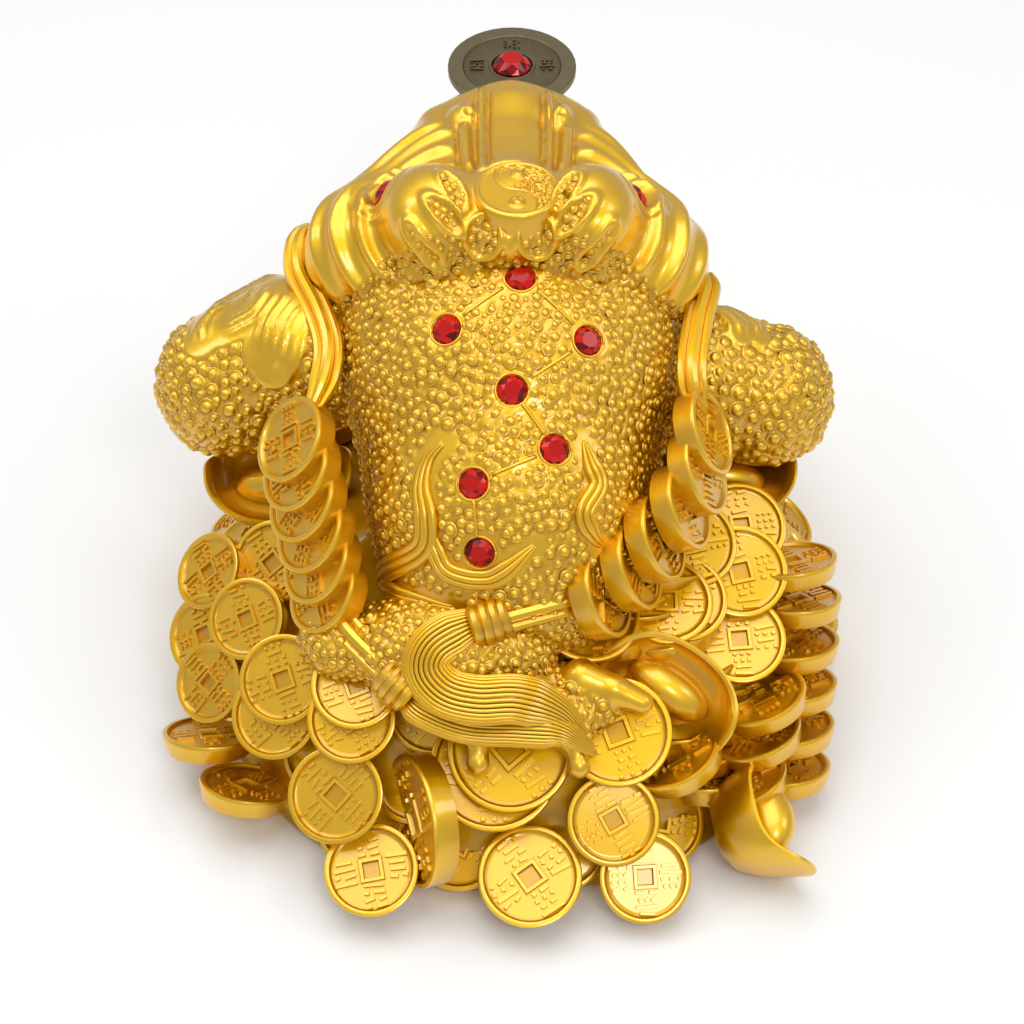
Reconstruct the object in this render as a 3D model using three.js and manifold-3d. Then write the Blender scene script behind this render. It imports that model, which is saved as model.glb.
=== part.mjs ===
// Money toad: a three-legged toad on a heap of cash coins and boat-shaped ingots, cast as one
// piece and gilded, with a loose coin in its mouth, red gems and a felt pad under the heap.
// Millimetres, +Z up, +Y towards the mouth. The origin is the middle of the pad's underside.

import * as THREE from 'three';
import { mergeVertices } from 'three/addons/utils/BufferGeometryUtils.js';
import Module from 'manifold-3d';

const wasm = await Module();
wasm.setup();

// Driving dimensions
const figureHeight = 139;         // underside of the pad to the top of the brows
const padThickness = 1.5;
const padInset = 4;               // the pad stays this far inside the heap's foot
const touchGap = 0.3;             // clearance between pieces that touch
const heapCoinDiameter = 25.5;
const heapCoinThickness = 5.2;
const standingCoinThickness = 6.5;
const coinSides = 8;
const coinRimWidth = 2;
const coinFaceDepth = 0.9;        // how far a coin's face lies below its rim
const coinHoleWidth = 5;
const stringCoinDiameter = 23;
const stringCoinThickness = 6;
const cordWidth = 7;
const tasselWidth = 11;
const tasselDepth = 6.5;
const knotDiameter = 10;
const barSides = 4;
const mouthCoinDiameter = 35;
const mouthCoinThickness = 2.2;
const mouthCoinSides = 20;
const coinGemDiameter = 10.5;
const coinGemCrown = 2.4;         // a gem's height above its girdle
const coinGemPavilion = 1.1;      // and below it
const backGemDiameter = 7.6;
const backGemCrown = 1.5;
const backGemPavilion = 2;
const eyeGemDiameter = 9;
const eyeGemCrown = 1.8;
const eyeGemPavilion = 2.6;
const gemSides = 8;
const girdleSink = 0.5;           // a back gem's girdle lies this far under the skin
const eyeSink = 0.6;
const crownDiscDiameter = 21;
const crownDiscDepth = 10;
const rowProud = 1.5;             // how far the rows of coins stand out of the heap's core

// The carving's places and radii are written in carving units
const unitsInHeight = 139;
const unit = figureHeight / unitsInHeight;

// Colours
const gilt = new THREE.MeshStandardMaterial({ color: 0xd9a528, roughness: 0.33, metalness: 1 });
const agedBronze = new THREE.MeshStandardMaterial({ color: 0x6b5a34, roughness: 0.45, metalness: 1 });
const redGlass = new THREE.MeshStandardMaterial({ color: 0xb00f14, roughness: 0.08, metalness: 0 });
const maroonFlock = new THREE.MeshStandardMaterial({ color: 0x5a1420, roughness: 0.95, metalness: 0 });

// Solids and plain geometry

function toSolid(geometry) {
  const bare = geometry.index ? geometry.clone() : geometry;
  bare.deleteAttribute('normal');
  bare.deleteAttribute('uv');
  const merged = mergeVertices(bare, 1e-4);
  return new wasm.Manifold(new wasm.Mesh({
    numProp: 3,
    vertProperties: new Float32Array(merged.attributes.position.array),
    triVerts: new Uint32Array(merged.index.array),
  }));
}

function toGeometry(solid) {
  const mesh = solid.getMesh();
  const geometry = new THREE.BufferGeometry();
  geometry.setAttribute('position', new THREE.BufferAttribute(mesh.vertProperties, 3));
  geometry.setIndex(new THREE.BufferAttribute(mesh.triVerts, 1));
  return geometry;
}

function vector(place) {
  return new THREE.Vector3(...place);
}

// Turns +Z onto a face's direction: facing is a bearing (0 is +Y, 90 is +X), lean the angle up
// from the horizon, and turn spins the piece about its own axis first.
function poseOnFace(place, facing, lean, turn = 0) {
  const bearing = THREE.MathUtils.degToRad(facing);
  const rise = THREE.MathUtils.degToRad(lean);
  const out = new THREE.Vector3(
    Math.sin(bearing) * Math.cos(rise), Math.cos(bearing) * Math.cos(rise), Math.sin(rise));
  return poseAlong(place, out, turn);
}

function poseAlong(place, direction, turn = 0) {
  const up = new THREE.Vector3(0, 0, 1);
  const spin = new THREE.Quaternion().setFromAxisAngle(up, THREE.MathUtils.degToRad(turn));
  const swing = new THREE.Quaternion().setFromUnitVectors(up, direction.clone().normalize());
  return new THREE.Matrix4().compose(vector(place), swing.multiply(spin), new THREE.Vector3(1, 1, 1));
}

function placed(geometry, pose) {
  return geometry.clone().applyMatrix4(pose);
}

// A closed skin through a list of equal rings, each ring running counter-clockwise seen from its end
function loft(rings) {
  const count = rings[0].length;
  const positions = rings.flat(2);
  const faces = [];
  for (let row = 0; row + 1 < rings.length; row += 1) {
    for (let i = 0; i < count; i += 1) {
      const next = (i + 1) % count;
      const a = row * count + i;
      const b = row * count + next;
      faces.push(a, b, b + count, a, b + count, a + count);
    }
  }
  const top = (rings.length - 1) * count;
  for (let i = 1; i + 1 < count; i += 1) {
    faces.push(0, i + 1, i, top, top + i, top + i + 1);
  }
  const geometry = new THREE.BufferGeometry();
  geometry.setAttribute('position', new THREE.Float32BufferAttribute(positions, 3));
  geometry.setIndex(faces);
  return geometry;
}

// Distance fields of the carving, in carving units

function blob(place, radii) {
  return (x, y, z) => {
    const [px, py, pz] = [x - place[0], y - place[1], z - place[2]];
    const scaled = Math.hypot(px / radii[0], py / radii[1], pz / radii[2]);
    const slope = Math.hypot(px / radii[0] ** 2, py / radii[1] ** 2, pz / radii[2] ** 2);
    return slope < 1e-9 ? -Math.min(...radii) : scaled * (scaled - 1) / slope;
  };
}

function limb(from, to, fromRadius, toRadius) {
  const along = to.map((value, axis) => value - from[axis]);
  const length2 = along.reduce((sum, value) => sum + value * value, 0);
  return (x, y, z) => {
    const p = [x - from[0], y - from[1], z - from[2]];
    const dot = p.reduce((sum, value, axis) => sum + value * along[axis], 0);
    const share = Math.min(1, Math.max(0, dot / length2));
    const rest = Math.hypot(...p.map((value, axis) => value - share * along[axis]));
    return rest - (fromRadius + share * (toRadius - fromRadius));
  };
}

function chain(places, radii) {
  const links = places.slice(1).map((place, i) => limb(places[i], place, radii[i], radii[i + 1]));
  return (x, y, z) => Math.min(...links.map((link) => link(x, y, z)));
}

function mirrored(field) {
  return (x, y, z) => field(Math.abs(x), y, z);
}

function blend(softness, ...fields) {
  return (x, y, z) => {
    let nearest = fields[0](x, y, z);
    for (const field of fields.slice(1)) {
      const other = field(x, y, z);
      const overlap = Math.max(softness - Math.abs(nearest - other), 0);
      nearest = Math.min(nearest, other) - overlap * overlap / (4 * softness);
    }
    return nearest;
  };
}

// The toad

const trunk = blend(14,
  blob([0, 26, 84], [44, 34, 36]),
  blob([0, -2, 68], [37, 32, 32]),
  blob([0, -22, 54], [29, 20, 20]));

const skull = blend(8,
  blob([-1, 52, 108], [46, 29, 22]),
  blob([0, 68, 117], [27, 26, 14]),
  blob([-36, 48, 108], [16.5, 15, 17]),
  blob([33.5, 44, 107], [17, 16, 17]));

const brows = blend(5,
  mirrored(blob([19.5, 41, 127], [12.5, 14, 12])),
  blob([0, 40, 126], [21, 14, 10.5]));

const snoutRidge = chain(
  [[0, 47, 126], [0, 56, 122.5], [0, 66, 119], [0, 76, 120.5], [0, 86, 122]], [9, 8.5, 8, 8.5, 8.5]);
const snoutTip = blob([0.5, 85.5, 120.5], [20.5, 11, 9.5]);

const lip = chain(
  [[-46.5, 47, 104], [-41.5, 58, 108], [-32, 70, 112], [-19, 83, 119], [0, 91, 122], [18, 83, 119],
    [28.5, 70, 112], [35.5, 58, 108], [43, 45, 104]],
  [5.5, 6, 6, 6, 5.5, 6, 6, 6, 5.5]);

const nostrils = mirrored(blob([12.6, 79, 128.5], [3, 3, 2.5]));

const head = blend(5, blend(6, skull, brows, snoutRidge), snoutTip, lip, nostrils);

const neck = blob([0, 38, 98], [43, 22, 24]);
const back = blend(10, trunk, neck);
const toadField = blend(2, back, head);

function foreleg(root, shoulder, elbow) {
  return blend(8, blob(root, [17, 17, 17]), limb(shoulder, elbow, 17.5, 20));
}

function forearm(side) {
  return limb([side * 71, 36, 66], [side * 62, 64, 44], 15, 10);
}

function toe(place) {
  return { field: blob(place, [5.5, 6.5, 5]), middle: place, detail: 0 };
}

// The hind foot's toes, from root to tip
const hindToes = [
  [[-8, -55, 41], [-8, -63, 37]],
  [[15, -56, 41], [17, -64, 37]],
  [[18, -46, 50], [33, -51.5, 46]],
];

// Each form of the toad with the middle that its skin is cast from, and how finely it is faceted.
// The one hind leg ends in the tail's coils under the tassels.
const toadForms = [
  { field: head, middle: [0, 50, 112], detail: 5 },
  { field: back, middle: [0, 8, 76], detail: 4 },
  { field: foreleg([-46, 34, 82], [-58, 39, 84], [-75, 35, 73]), middle: [-64, 37, 80], detail: 2 },
  { field: foreleg([45, 31, 78], [53, 31, 77.5], [66.5, 31, 71]), middle: [58, 32, 75], detail: 2 },
  ...[-1, 1].flatMap((side) => [
    { field: forearm(side), middle: [side * 67, 48, 57], detail: 1 },
    { field: blob([side * 61, 72, 40], [16, 14, 9]), middle: [side * 61, 72, 40], detail: 1 },
    ...[[51, 83, 37], [61, 85.5, 37], [71, 82, 37]].map(([x, y, z]) => toe([side * x, y, z])),
  ]),
  { field: blob([-14, -38, 52], [26, 16, 14]), middle: [-14, -38, 52], detail: 1 },
  { field: blob([-41, -34, 50], [12.5, 11, 9]), middle: [-41, -34, 50], detail: 1 },
  { field: blob([8, -49, 43], [20, 11, 8]), middle: [8, -49, 43], detail: 1 },
  ...hindToes.map(([root, tip]) => ({ field: limb(root, tip, 4.5, 2.6), middle: root, detail: 0 })),
];

function slopeAt(field, x, y, z) {
  const step = 0.05;
  const slope = new THREE.Vector3(
    field(x + step, y, z) - field(x - step, y, z),
    field(x, y + step, z) - field(x, y - step, z),
    field(x, y, z + step) - field(x, y, z - step));
  return slope.normalize();
}

// Moves a place straight onto the skin, or a given depth below it
function settle(place, depth = 0) {
  const point = vector(place);
  for (let round = 0; round < 6; round += 1) {
    const error = toadField(point.x, point.y, point.z) + depth;
    point.addScaledVector(slopeAt(toadField, point.x, point.y, point.z), -error);
  }
  return point;
}

// A form's skin: points on a sphere round its middle, moved in along their rays to the surface
const castRounds = 80;
const castStep = 0.6;             // share of the distance to the skin that one round moves

function castSkin({ field, middle, detail }) {
  const skin = new THREE.IcosahedronGeometry(1, detail);
  const corners = skin.attributes.position;
  const centre = vector(middle);
  for (let i = 0; i < corners.count; i += 1) {
    const ray = new THREE.Vector3().fromBufferAttribute(corners, i).normalize();
    let distance = unitsInHeight;
    for (let round = 0; round < castRounds; round += 1) {
      const point = centre.clone().addScaledVector(ray, distance);
      distance -= castStep * field(point.x, point.y, point.z);
    }
    const point = centre.clone().addScaledVector(ray, distance).multiplyScalar(unit);
    corners.setXYZ(i, point.x, point.y, point.z);
  }
  return skin;
}

// The heap's core: rounded-square sections, from the foot up
const heapSections = [
  { z: 0, half: 80, rear: 80, front: 82 },
  { z: 20, half: 79, rear: 65, front: 80 },
  { z: 38, half: 70, rear: 45, front: 73 },
  { z: 47, half: 59, rear: 32, front: 65 },
  { z: 58, half: 36, rear: 12, front: 55 },
];
const heapRoundness = 2.2;
const heapSides = 16;

function heapRing(section, z, inset = 0) {
  const ring = [];
  for (let i = 0; i < heapSides; i += 1) {
    const angle = i / heapSides * 2 * Math.PI;
    const [c, s] = [Math.cos(angle), Math.sin(angle)];
    const depth = s < 0 ? section.rear : section.front;
    ring.push([
      Math.sign(c) * Math.abs(c) ** (2 / heapRoundness) * (section.half * unit - inset),
      Math.sign(s) * Math.abs(s) ** (2 / heapRoundness) * (depth * unit - inset),
      z]);
  }
  return ring;
}

const castingFoot = padThickness + touchGap;

function heapCore() {
  return loft(heapSections.map((section) => heapRing(section, Math.max(section.z * unit, castingFoot))));
}

// A cash coin, its middle at the origin and its face up: raised rim, sunk face, square hole
function cashCoin(diameter, thickness, sides, face) {
  const disc = new THREE.CylinderGeometry(diameter / 2, diameter / 2, thickness, sides);
  disc.rotateX(Math.PI / 2);
  if (face === 'plain') return disc;
  const faceRadius = diameter / 2 - coinRimWidth;
  const sunk = new THREE.CylinderGeometry(faceRadius, faceRadius, 2 * coinFaceDepth, sides);
  sunk.rotateX(Math.PI / 2);
  sunk.translate(0, 0, thickness / 2);
  const hole = new THREE.BoxGeometry(coinHoleWidth, coinHoleWidth, 4 * coinFaceDepth);
  hole.translate(0, 0, thickness / 2);
  const holed = toSolid(disc).subtract(toSolid(hole));
  return toGeometry(face === 'holed' ? holed : holed.subtract(toSolid(sunk)));
}

// Coins that show on the heap: place, the way the face looks, its lean up from the horizon,
// the turn of the square hole, and the size against the usual coin
const shownCoins = [
  [5, -81, 12, 180, 72, 35, 1.04],
  [26, -70, 22, 176, 52, 30, 0.93],
  [34, -80, 11, 170, 56, 5, 0.93],
  [-35, -79, 12, 188, 70, 10, 0.95],
  [-44, -64, 24, 195, 56, 45, 0.98],
];

// Coins that their neighbours half cover, with the square hole alone
const tuckedCoins = [
  [-78, -32, 29, 225, 44, 35, 0.84],
  [-68, -22, 43, 215, 52, 15, 0.86],
  [-58, -38, 38, 205, 56, 15, 0.93],
  [59.5, -27.5, 41, 178, 70, 5, 0.95],
  [60, -12, 50, 168, 64, 15, 0.98],
  [0, -56, 32, 180, 62, 40, 1.25],
  [27, -54, 37, 180, 62, 20, 1.1],
  [-62, -7, 48, 215, 50, 30, 0.9],
  [43, -56, 28, 299, 60, 15, 0.97],
];

// Coins that show little more than an edge
const edgeCoins = [
  [-39, -44, 43, 185, 66, 20, 0.9],
  [-80, -39.5, 14, 4, 57, 20, 0.97],
  [-69.5, -53, 10, 18, 57, 50, 0.98],
  [65.5, -39, 30, 313, 63, 20, 0.97],
  [64.5, -44.5, 22, 313, 63, 60, 0.97],
  [61, -53.5, 14, 313, 63, 30, 0.95],
  [-80, -20, 34, 228, 48, 10, 0.88],
  [75, -5, 44.5, 345, 62, 20, 0.95],
  [75.5, -21, 30, 350, 64, 50, 0.95],
  [74, -38, 15.5, 345, 62, 0, 0.97],
  [-79, -6, 43, 240, 50, 20, 0.84],
  [-40, -50, 37, 190, 60, 30, 0.9],
  [61, 2, 52, 160, 66, 10, 0.95],
];

// A big coin that stands on edge among the others
const standingCoins = [
  [-22, -70, 22, 250, 12, 0, 1.35],
];

// The sides that the photo doesn't show carry rows of coins laid round the heap
const coinRows = [
  { height: 12, count: 5, lean: 58 },
  { height: 30, count: 3, lean: 52 },
];
const hiddenFrom = -78;
const hiddenTo = 98;
const rowSway = 14;               // degrees that a row's coins look to one side or the other

function coreEdge(bearing, height) {
  const z = height / unit;
  const upper = Math.max(1, heapSections.findIndex((section) => section.z > z));
  const [a, b] = [heapSections[upper - 1], heapSections[upper]];
  const share = (z - a.z) / (b.z - a.z);
  const angle = THREE.MathUtils.degToRad(bearing);
  const [s, c] = [Math.sin(angle), Math.cos(angle)];
  const half = a.half + share * (b.half - a.half);
  const depth = c < 0 ? a.rear + share * (b.rear - a.rear) : a.front + share * (b.front - a.front);
  const reach = ((Math.abs(s) / half) ** heapRoundness + (Math.abs(c) / depth) ** heapRoundness)
    ** (-1 / heapRoundness);
  return [s * reach, c * reach, z];
}

function heapCoins() {
  const coins = [];
  const lay = (list, thickness, face) => {
    for (const [x, y, z, facing, lean, turn, size] of list) {
      const coin = cashCoin(heapCoinDiameter * size, thickness, coinSides, face);
      coins.push(placed(coin, poseOnFace([x * unit, y * unit, z * unit], facing, lean, turn)));
    }
  };
  lay(shownCoins, heapCoinThickness, 'rimmed');
  lay(tuckedCoins, heapCoinThickness, 'holed');
  lay(edgeCoins, heapCoinThickness, 'plain');
  lay(standingCoins, standingCoinThickness, 'plain');
  coinRows.forEach(({ height, count, lean }, rowNumber) => {
    for (let i = 0; i < count; i += 1) {
      const share = (i + 0.5 * (rowNumber % 2)) / (count - 0.5);
      const bearing = hiddenFrom + (hiddenTo - hiddenFrom) * share;
      const place = coreEdge(bearing, height * unit).map((value) => value * unit);
      place[0] += rowProud * Math.sin(THREE.MathUtils.degToRad(bearing));
      place[1] += rowProud * Math.cos(THREE.MathUtils.degToRad(bearing));
      const coin = cashCoin(heapCoinDiameter, heapCoinThickness, coinSides, 'plain');
      coins.push(placed(coin, poseOnFace(place, bearing + rowSway * Math.sin(5 * i), lean)));
    }
  });
  return coins;
}

// A boat-shaped ingot: a rimmed hull that rises to both ends, and an egg-shaped dome between them.
// Its sections are the foot, the rim and the bed of the dome, as shares of its own size.
const ingotSections = [
  { spread: 0.55, low: 0, high: 0 },
  { spread: 1, low: 0.6, high: 1 },
  { spread: 0.66, low: 0.5, high: 0.56 },
];
const ingotSides = 8;
const domeShares = [0.28, 0.22, 0.36];

function ingot(length, width, height) {
  const rings = ingotSections.map(({ spread, low, high }) => {
    const ring = [];
    for (let i = 0; i < ingotSides; i += 1) {
      const angle = i / ingotSides * 2 * Math.PI;
      const rise = low + (high - low) * Math.cos(angle) ** 4;
      ring.push([
        Math.cos(angle) * length / 2 * spread, Math.sin(angle) * width / 2 * spread, rise * height]);
    }
    return ring;
  });
  const dome = new THREE.SphereGeometry(1, 6, 3);
  dome.scale(length * domeShares[0], width * domeShares[1], height * domeShares[2]);
  dome.translate(0, 0, height * ingotSections[1].low);
  return toGeometry(toSolid(loft(rings)).add(toSolid(dome)));
}

// Ingots in the heap: the foot's place, the way the bowl opens, the way it is long, and its size
const ingots = [
  [[42.5, -34, 34.5], [-0.2, -0.83, 0.52], [0.83, -0.43, -0.36], [38, 28, 18]],
  [[54.5, -65, 8], [0.91, 0.07, 0.41], [0.12, -0.98, -0.1], [34, 27, 22]],
  [[-62, 20, 42], [0, -0.2, 0.98], [1, 0.09, 0], [40, 26, 18]],
  [[57, 22, 42], [0, -0.2, 0.98], [1, -0.09, 0], [40, 26, 18]],
];

function heapIngots() {
  return ingots.map(([place, out, along, size]) => {
    const up = vector(out).normalize();
    const sideways = new THREE.Vector3().crossVectors(up, vector(along)).normalize();
    const forward = new THREE.Vector3().crossVectors(sideways, up);
    const pose = new THREE.Matrix4().makeBasis(forward, sideways, up);
    pose.setPosition(vector(place).multiplyScalar(unit));
    return placed(ingot(...size.map((value) => value * unit)), pose);
  });
}

// Strings of coins on the flanks, shingled from the upper coin down to the lower one
const coinStrings = [
  {
    normal: [-0.66, -0.25, 0.71],
    places: [[-54, 0, 87], [-52.5, -5.5, 82], [-51, -11, 76.5], [-49, -16.5, 71], [-47.5, -22, 65.5],
      [-46, -27, 60]],
  },
  {
    normal: [0.85, -0.14, 0.5],
    places: [[49, 3, 87], [47.5, -5, 81], [43, -13, 76.5], [36.5, -19.5, 72], [30.5, -25.5, 68],
      [22.5, -31.5, 64.5]],
  },
];

function stringCoins() {
  const coins = [];
  for (const { normal, places } of coinStrings) {
    places.forEach((place, i) => {
      const face = i === 0 ? 'rimmed' : 'plain';
      const coin = cashCoin(stringCoinDiameter, stringCoinThickness, coinSides, face);
      coins.push(placed(coin, poseAlong(place.map((value) => value * unit), vector(normal))));
    });
  }
  return coins;
}

// A bar with an oval section along a smooth route in carving units. Its width lies across the
// outward direction. Ends holds the shares of the section that are left at either end.
const endTaper = 3;

function bar(route, outward, width, depth, steps, ends) {
  const curve = new THREE.CatmullRomCurve3(route.map((place) => vector(place).multiplyScalar(unit)));
  const rings = [];
  for (let i = 0; i <= steps; i += 1) {
    const share = i / steps;
    const middle = curve.getPointAt(share);
    const tangent = curve.getTangentAt(share);
    const across = new THREE.Vector3().crossVectors(tangent, vector(outward)).normalize();
    const up = new THREE.Vector3().crossVectors(across, tangent);
    const size = Math.min(1, ends[0] + endTaper * share, ends[1] + endTaper * (1 - share));
    const ring = [];
    for (let k = 0; k < barSides; k += 1) {
      const angle = k / barSides * 2 * Math.PI;
      ring.push(middle.clone()
        .addScaledVector(across, Math.cos(angle) * width / 2 * size)
        .addScaledVector(up, -Math.sin(angle) * depth / 2 * size)
        .toArray());
    }
    rings.push(ring);
  }
  return loft(rings);
}

// Cords from behind the jaws to the strings of coins, and on to the knots at the tail. Another
// runs through the coins of each string.
const cords = [
  [[-52, 59, 107], [-54.5, 56, 107], [-55.5, 50, 105], [-54.5, 44, 103], [-49.5, 33, 101], [-46.5, 23, 98],
    [-47.5, 14, 94], [-52, 4, 89]],
  [[50.5, 44, 104], [50.5, 38, 104], [48, 28, 102], [46, 14, 97], [48, 5, 89]],
  [[-46, -28, 60], [-41, -37, 58], [-29, -49, 54.5]],
  [[22.5, -31.5, 64.5], [12, -36, 66.5], [-4, -41, 66]],
];
const awayFromTail = [0, -0.67, 0.74];
const cordEnds = [0.6, 0.6];
const tasselEnds = [0.6, 0.2];

function cordSolids() {
  const routes = [...cords, ...coinStrings.map(({ places }) => places)];
  return routes.map((route) => bar(route, awayFromTail, cordWidth, cordWidth, route.length, cordEnds));
}

// Tassels: a knot, and a bundle of strands that sweeps across the tail to a point
const tassels = [
  [[-28, -51, 53.5], [-24.5, -54, 52.5], [-21, -57, 51.5], [-10.5, -58.5, 47], [2.5, -59.5, 47],
    [13, -60.5, 46.3], [21.5, -63, 40]],
  [[-5, -41, 66], [-11, -43.5, 66], [-18.5, -47.5, 63.8], [-20.5, -52, 60.2], [-16, -56, 56.7],
    [-8, -57.5, 55.3], [2.5, -57, 54.8], [13, -57.5, 49.5], [20, -60.5, 41.2]],
];

function tasselSolids() {
  return tassels.flatMap((route) => {
    const knot = new THREE.SphereGeometry(knotDiameter / 2, 6, 4);
    knot.translate(...route[0].map((value) => value * unit));
    return [bar(route, awayFromTail, tasselWidth, tasselDepth, route.length - 1, tasselEnds), knot];
  });
}

// The set gems. Each is a faceted stone with its table out and its girdle in a seat of the casting.
const backGemPlaces = [
  [2.5, 24.5, 118.5], [-15, 13.5, 112], [18.5, 12, 110], [0.5, 0.5, 104.5], [11, -12.5, 97.5],
  [-8.5, -18.5, 91], [-7, -29, 79],
];
const eyeGemPlace = [31, 49, 122];
const eyeGemFacing = [0.82, 0.42, 0.38];
const seatMouth = 12;             // a seat's cutter reaches this far out past the girdle
const tableShare = 0.62;

function facetedGem({ diameter, crown, pavilion }) {
  const girdle = diameter / 2;
  const table = girdle * tableShare;
  const profile = [[0, -pavilion], [girdle, 0], [table, crown], [0, crown]];
  const gem = new THREE.LatheGeometry(profile.map(([r, z]) => new THREE.Vector2(r, z)), gemSides);
  gem.rotateX(Math.PI / 2);
  return gem;
}

function gemSeat({ diameter, pavilion }) {
  const radius = diameter / 2 + touchGap;
  const depth = pavilion + touchGap;
  const seat = new THREE.CylinderGeometry(radius, radius, depth + seatMouth, gemSides);
  seat.rotateX(Math.PI / 2);
  seat.translate(0, 0, (seatMouth - depth) / 2);
  return seat;
}

function setGems() {
  const gems = backGemPlaces.map((place, i) => {
    const point = settle(place, girdleSink / unit);
    return {
      name: `back_gem_${i + 1}`,
      diameter: backGemDiameter,
      crown: backGemCrown,
      pavilion: backGemPavilion,
      pose: poseAlong(point.clone().multiplyScalar(unit).toArray(), slopeAt(toadField, ...point.toArray())),
    };
  });
  for (const [name, side] of [['eye_gem_left', -1], ['eye_gem_right', 1]]) {
    const point = settle([side * eyeGemPlace[0], eyeGemPlace[1], eyeGemPlace[2]], eyeSink / unit);
    gems.push({
      name,
      diameter: eyeGemDiameter,
      crown: eyeGemCrown,
      pavilion: eyeGemPavilion,
      pose: poseAlong(
        point.multiplyScalar(unit).toArray(),
        new THREE.Vector3(side * eyeGemFacing[0], eyeGemFacing[1], eyeGemFacing[2])),
    });
  }
  return gems;
}

// The loose coin lies level in a slot under the upper lip, and carries a gem of its own
const mouthCoinPlace = [0.5, 106, 124];

function levelDisc(diameter, thickness, sides) {
  const disc = new THREE.CylinderGeometry(diameter / 2, diameter / 2, thickness, sides);
  disc.rotateX(Math.PI / 2);
  return disc;
}

function atMouth(geometry, lift = 0) {
  const [x, y, z] = mouthCoinPlace;
  return geometry.translate(x * unit, y * unit, z * unit + lift);
}

function mouthSlot() {
  const thickness = mouthCoinThickness + 2 * touchGap;
  return atMouth(levelDisc(mouthCoinDiameter + 2 * touchGap, thickness, mouthCoinSides));
}

const coinGem = { diameter: coinGemDiameter, crown: coinGemCrown, pavilion: coinGemPavilion };

function mouthCoin() {
  const disc = toSolid(atMouth(levelDisc(mouthCoinDiameter, mouthCoinThickness, mouthCoinSides)));
  return toGeometry(disc.subtract(toSolid(atMouth(gemSeat(coinGem), mouthCoinThickness / 2))));
}

// The yin-yang disc between the brows, with the middle of its top in carving units
const crownDiscPlace = [1.8, 39, 136.6];

function crownDisc() {
  const [x, y, z] = crownDiscPlace;
  const disc = levelDisc(crownDiscDiameter, crownDiscDepth, coinSides);
  return disc.translate(x * unit, y * unit, z * unit - crownDiscDepth / 2);
}

function giltFigure() {
  let figure = toSolid(heapCore());
  for (const form of toadForms) {
    figure = figure.add(toSolid(castSkin(form)));
  }
  const additions = [
    ...heapCoins(), ...heapIngots(), ...stringCoins(), ...cordSolids(), ...tasselSolids(), crownDisc()];
  for (const piece of additions) {
    figure = figure.add(toSolid(piece));
  }
  const ground = new THREE.BoxGeometry(3 * figureHeight, 3 * figureHeight, figureHeight);
  ground.translate(0, 0, castingFoot - figureHeight / 2);
  figure = figure.subtract(toSolid(ground));
  for (const gem of setGems()) {
    figure = figure.subtract(toSolid(placed(gemSeat(gem), gem.pose)));
  }
  return figure.subtract(toSolid(mouthSlot()));
}

// Pockets sealed between coins are filled by the resin, so only the outer skin is kept
function outerSkin(solid) {
  const parts = solid.decompose();
  return parts.reduce((largest, part) => (part.volume() > largest.volume() ? part : largest));
}

function addPiece(group, name, geometry, material) {
  const mesh = new THREE.Mesh(geometry, material);
  mesh.name = name;
  group.add(mesh);
}

const moneyToad = new THREE.Group();
addPiece(moneyToad, 'gilt_figure', toGeometry(outerSkin(giltFigure())), gilt);
for (const gem of setGems()) {
  addPiece(moneyToad, gem.name, placed(facetedGem(gem), gem.pose), redGlass);
}
addPiece(moneyToad, 'mouth_coin', mouthCoin(), agedBronze);
addPiece(moneyToad, 'mouth_coin_gem', atMouth(facetedGem(coinGem), mouthCoinThickness / 2), redGlass);
const padRings = [0, padThickness].map((z) => heapRing(heapSections[0], z, padInset));
addPiece(moneyToad, 'base_felt', loft(padRings), maroonFlock);

export default moneyToad;
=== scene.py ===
# A gilded money toad on its heap of coins: the fine surface of the casting, the red gems, the
# loose bronze coin in the mouth and the felt pad. Shapes are worked out in millimetres.

import itertools
import math

import bpy
import numpy as np
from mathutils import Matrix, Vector


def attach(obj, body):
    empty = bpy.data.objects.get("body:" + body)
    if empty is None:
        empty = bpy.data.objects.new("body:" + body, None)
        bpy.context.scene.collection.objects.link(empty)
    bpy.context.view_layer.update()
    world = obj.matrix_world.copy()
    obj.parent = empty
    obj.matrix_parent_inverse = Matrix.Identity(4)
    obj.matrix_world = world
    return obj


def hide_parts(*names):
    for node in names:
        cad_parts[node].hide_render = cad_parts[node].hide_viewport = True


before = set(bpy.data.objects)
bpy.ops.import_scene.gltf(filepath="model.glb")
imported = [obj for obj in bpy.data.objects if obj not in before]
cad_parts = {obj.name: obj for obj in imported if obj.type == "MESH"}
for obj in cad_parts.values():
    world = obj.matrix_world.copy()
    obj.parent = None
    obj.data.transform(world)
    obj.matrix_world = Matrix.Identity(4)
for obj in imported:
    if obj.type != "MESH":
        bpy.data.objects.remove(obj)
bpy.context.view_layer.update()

MM = 0.001
UP = np.array([0.0, 0.0, 1.0])
SHARP = math.radians(40)
seeded = np.random.default_rng


# Finishes

class Value:
    """A socket of a finish. Maths on it adds Math nodes."""

    def __init__(self, finish, socket):
        self.finish, self.socket = finish, socket

    def __add__(self, other):
        return self.finish.maths("ADD", self, other)

    def __sub__(self, other):
        return self.finish.maths("SUBTRACT", self, other)

    def __rsub__(self, other):
        return self.finish.maths("SUBTRACT", other, self)

    def __mul__(self, other):
        return self.finish.maths("MULTIPLY", self, other)

    __radd__, __rmul__ = __add__, __mul__

    def clamped(self):
        return self.finish.maths("ADD", self, 0.0, clamp=True)


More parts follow.
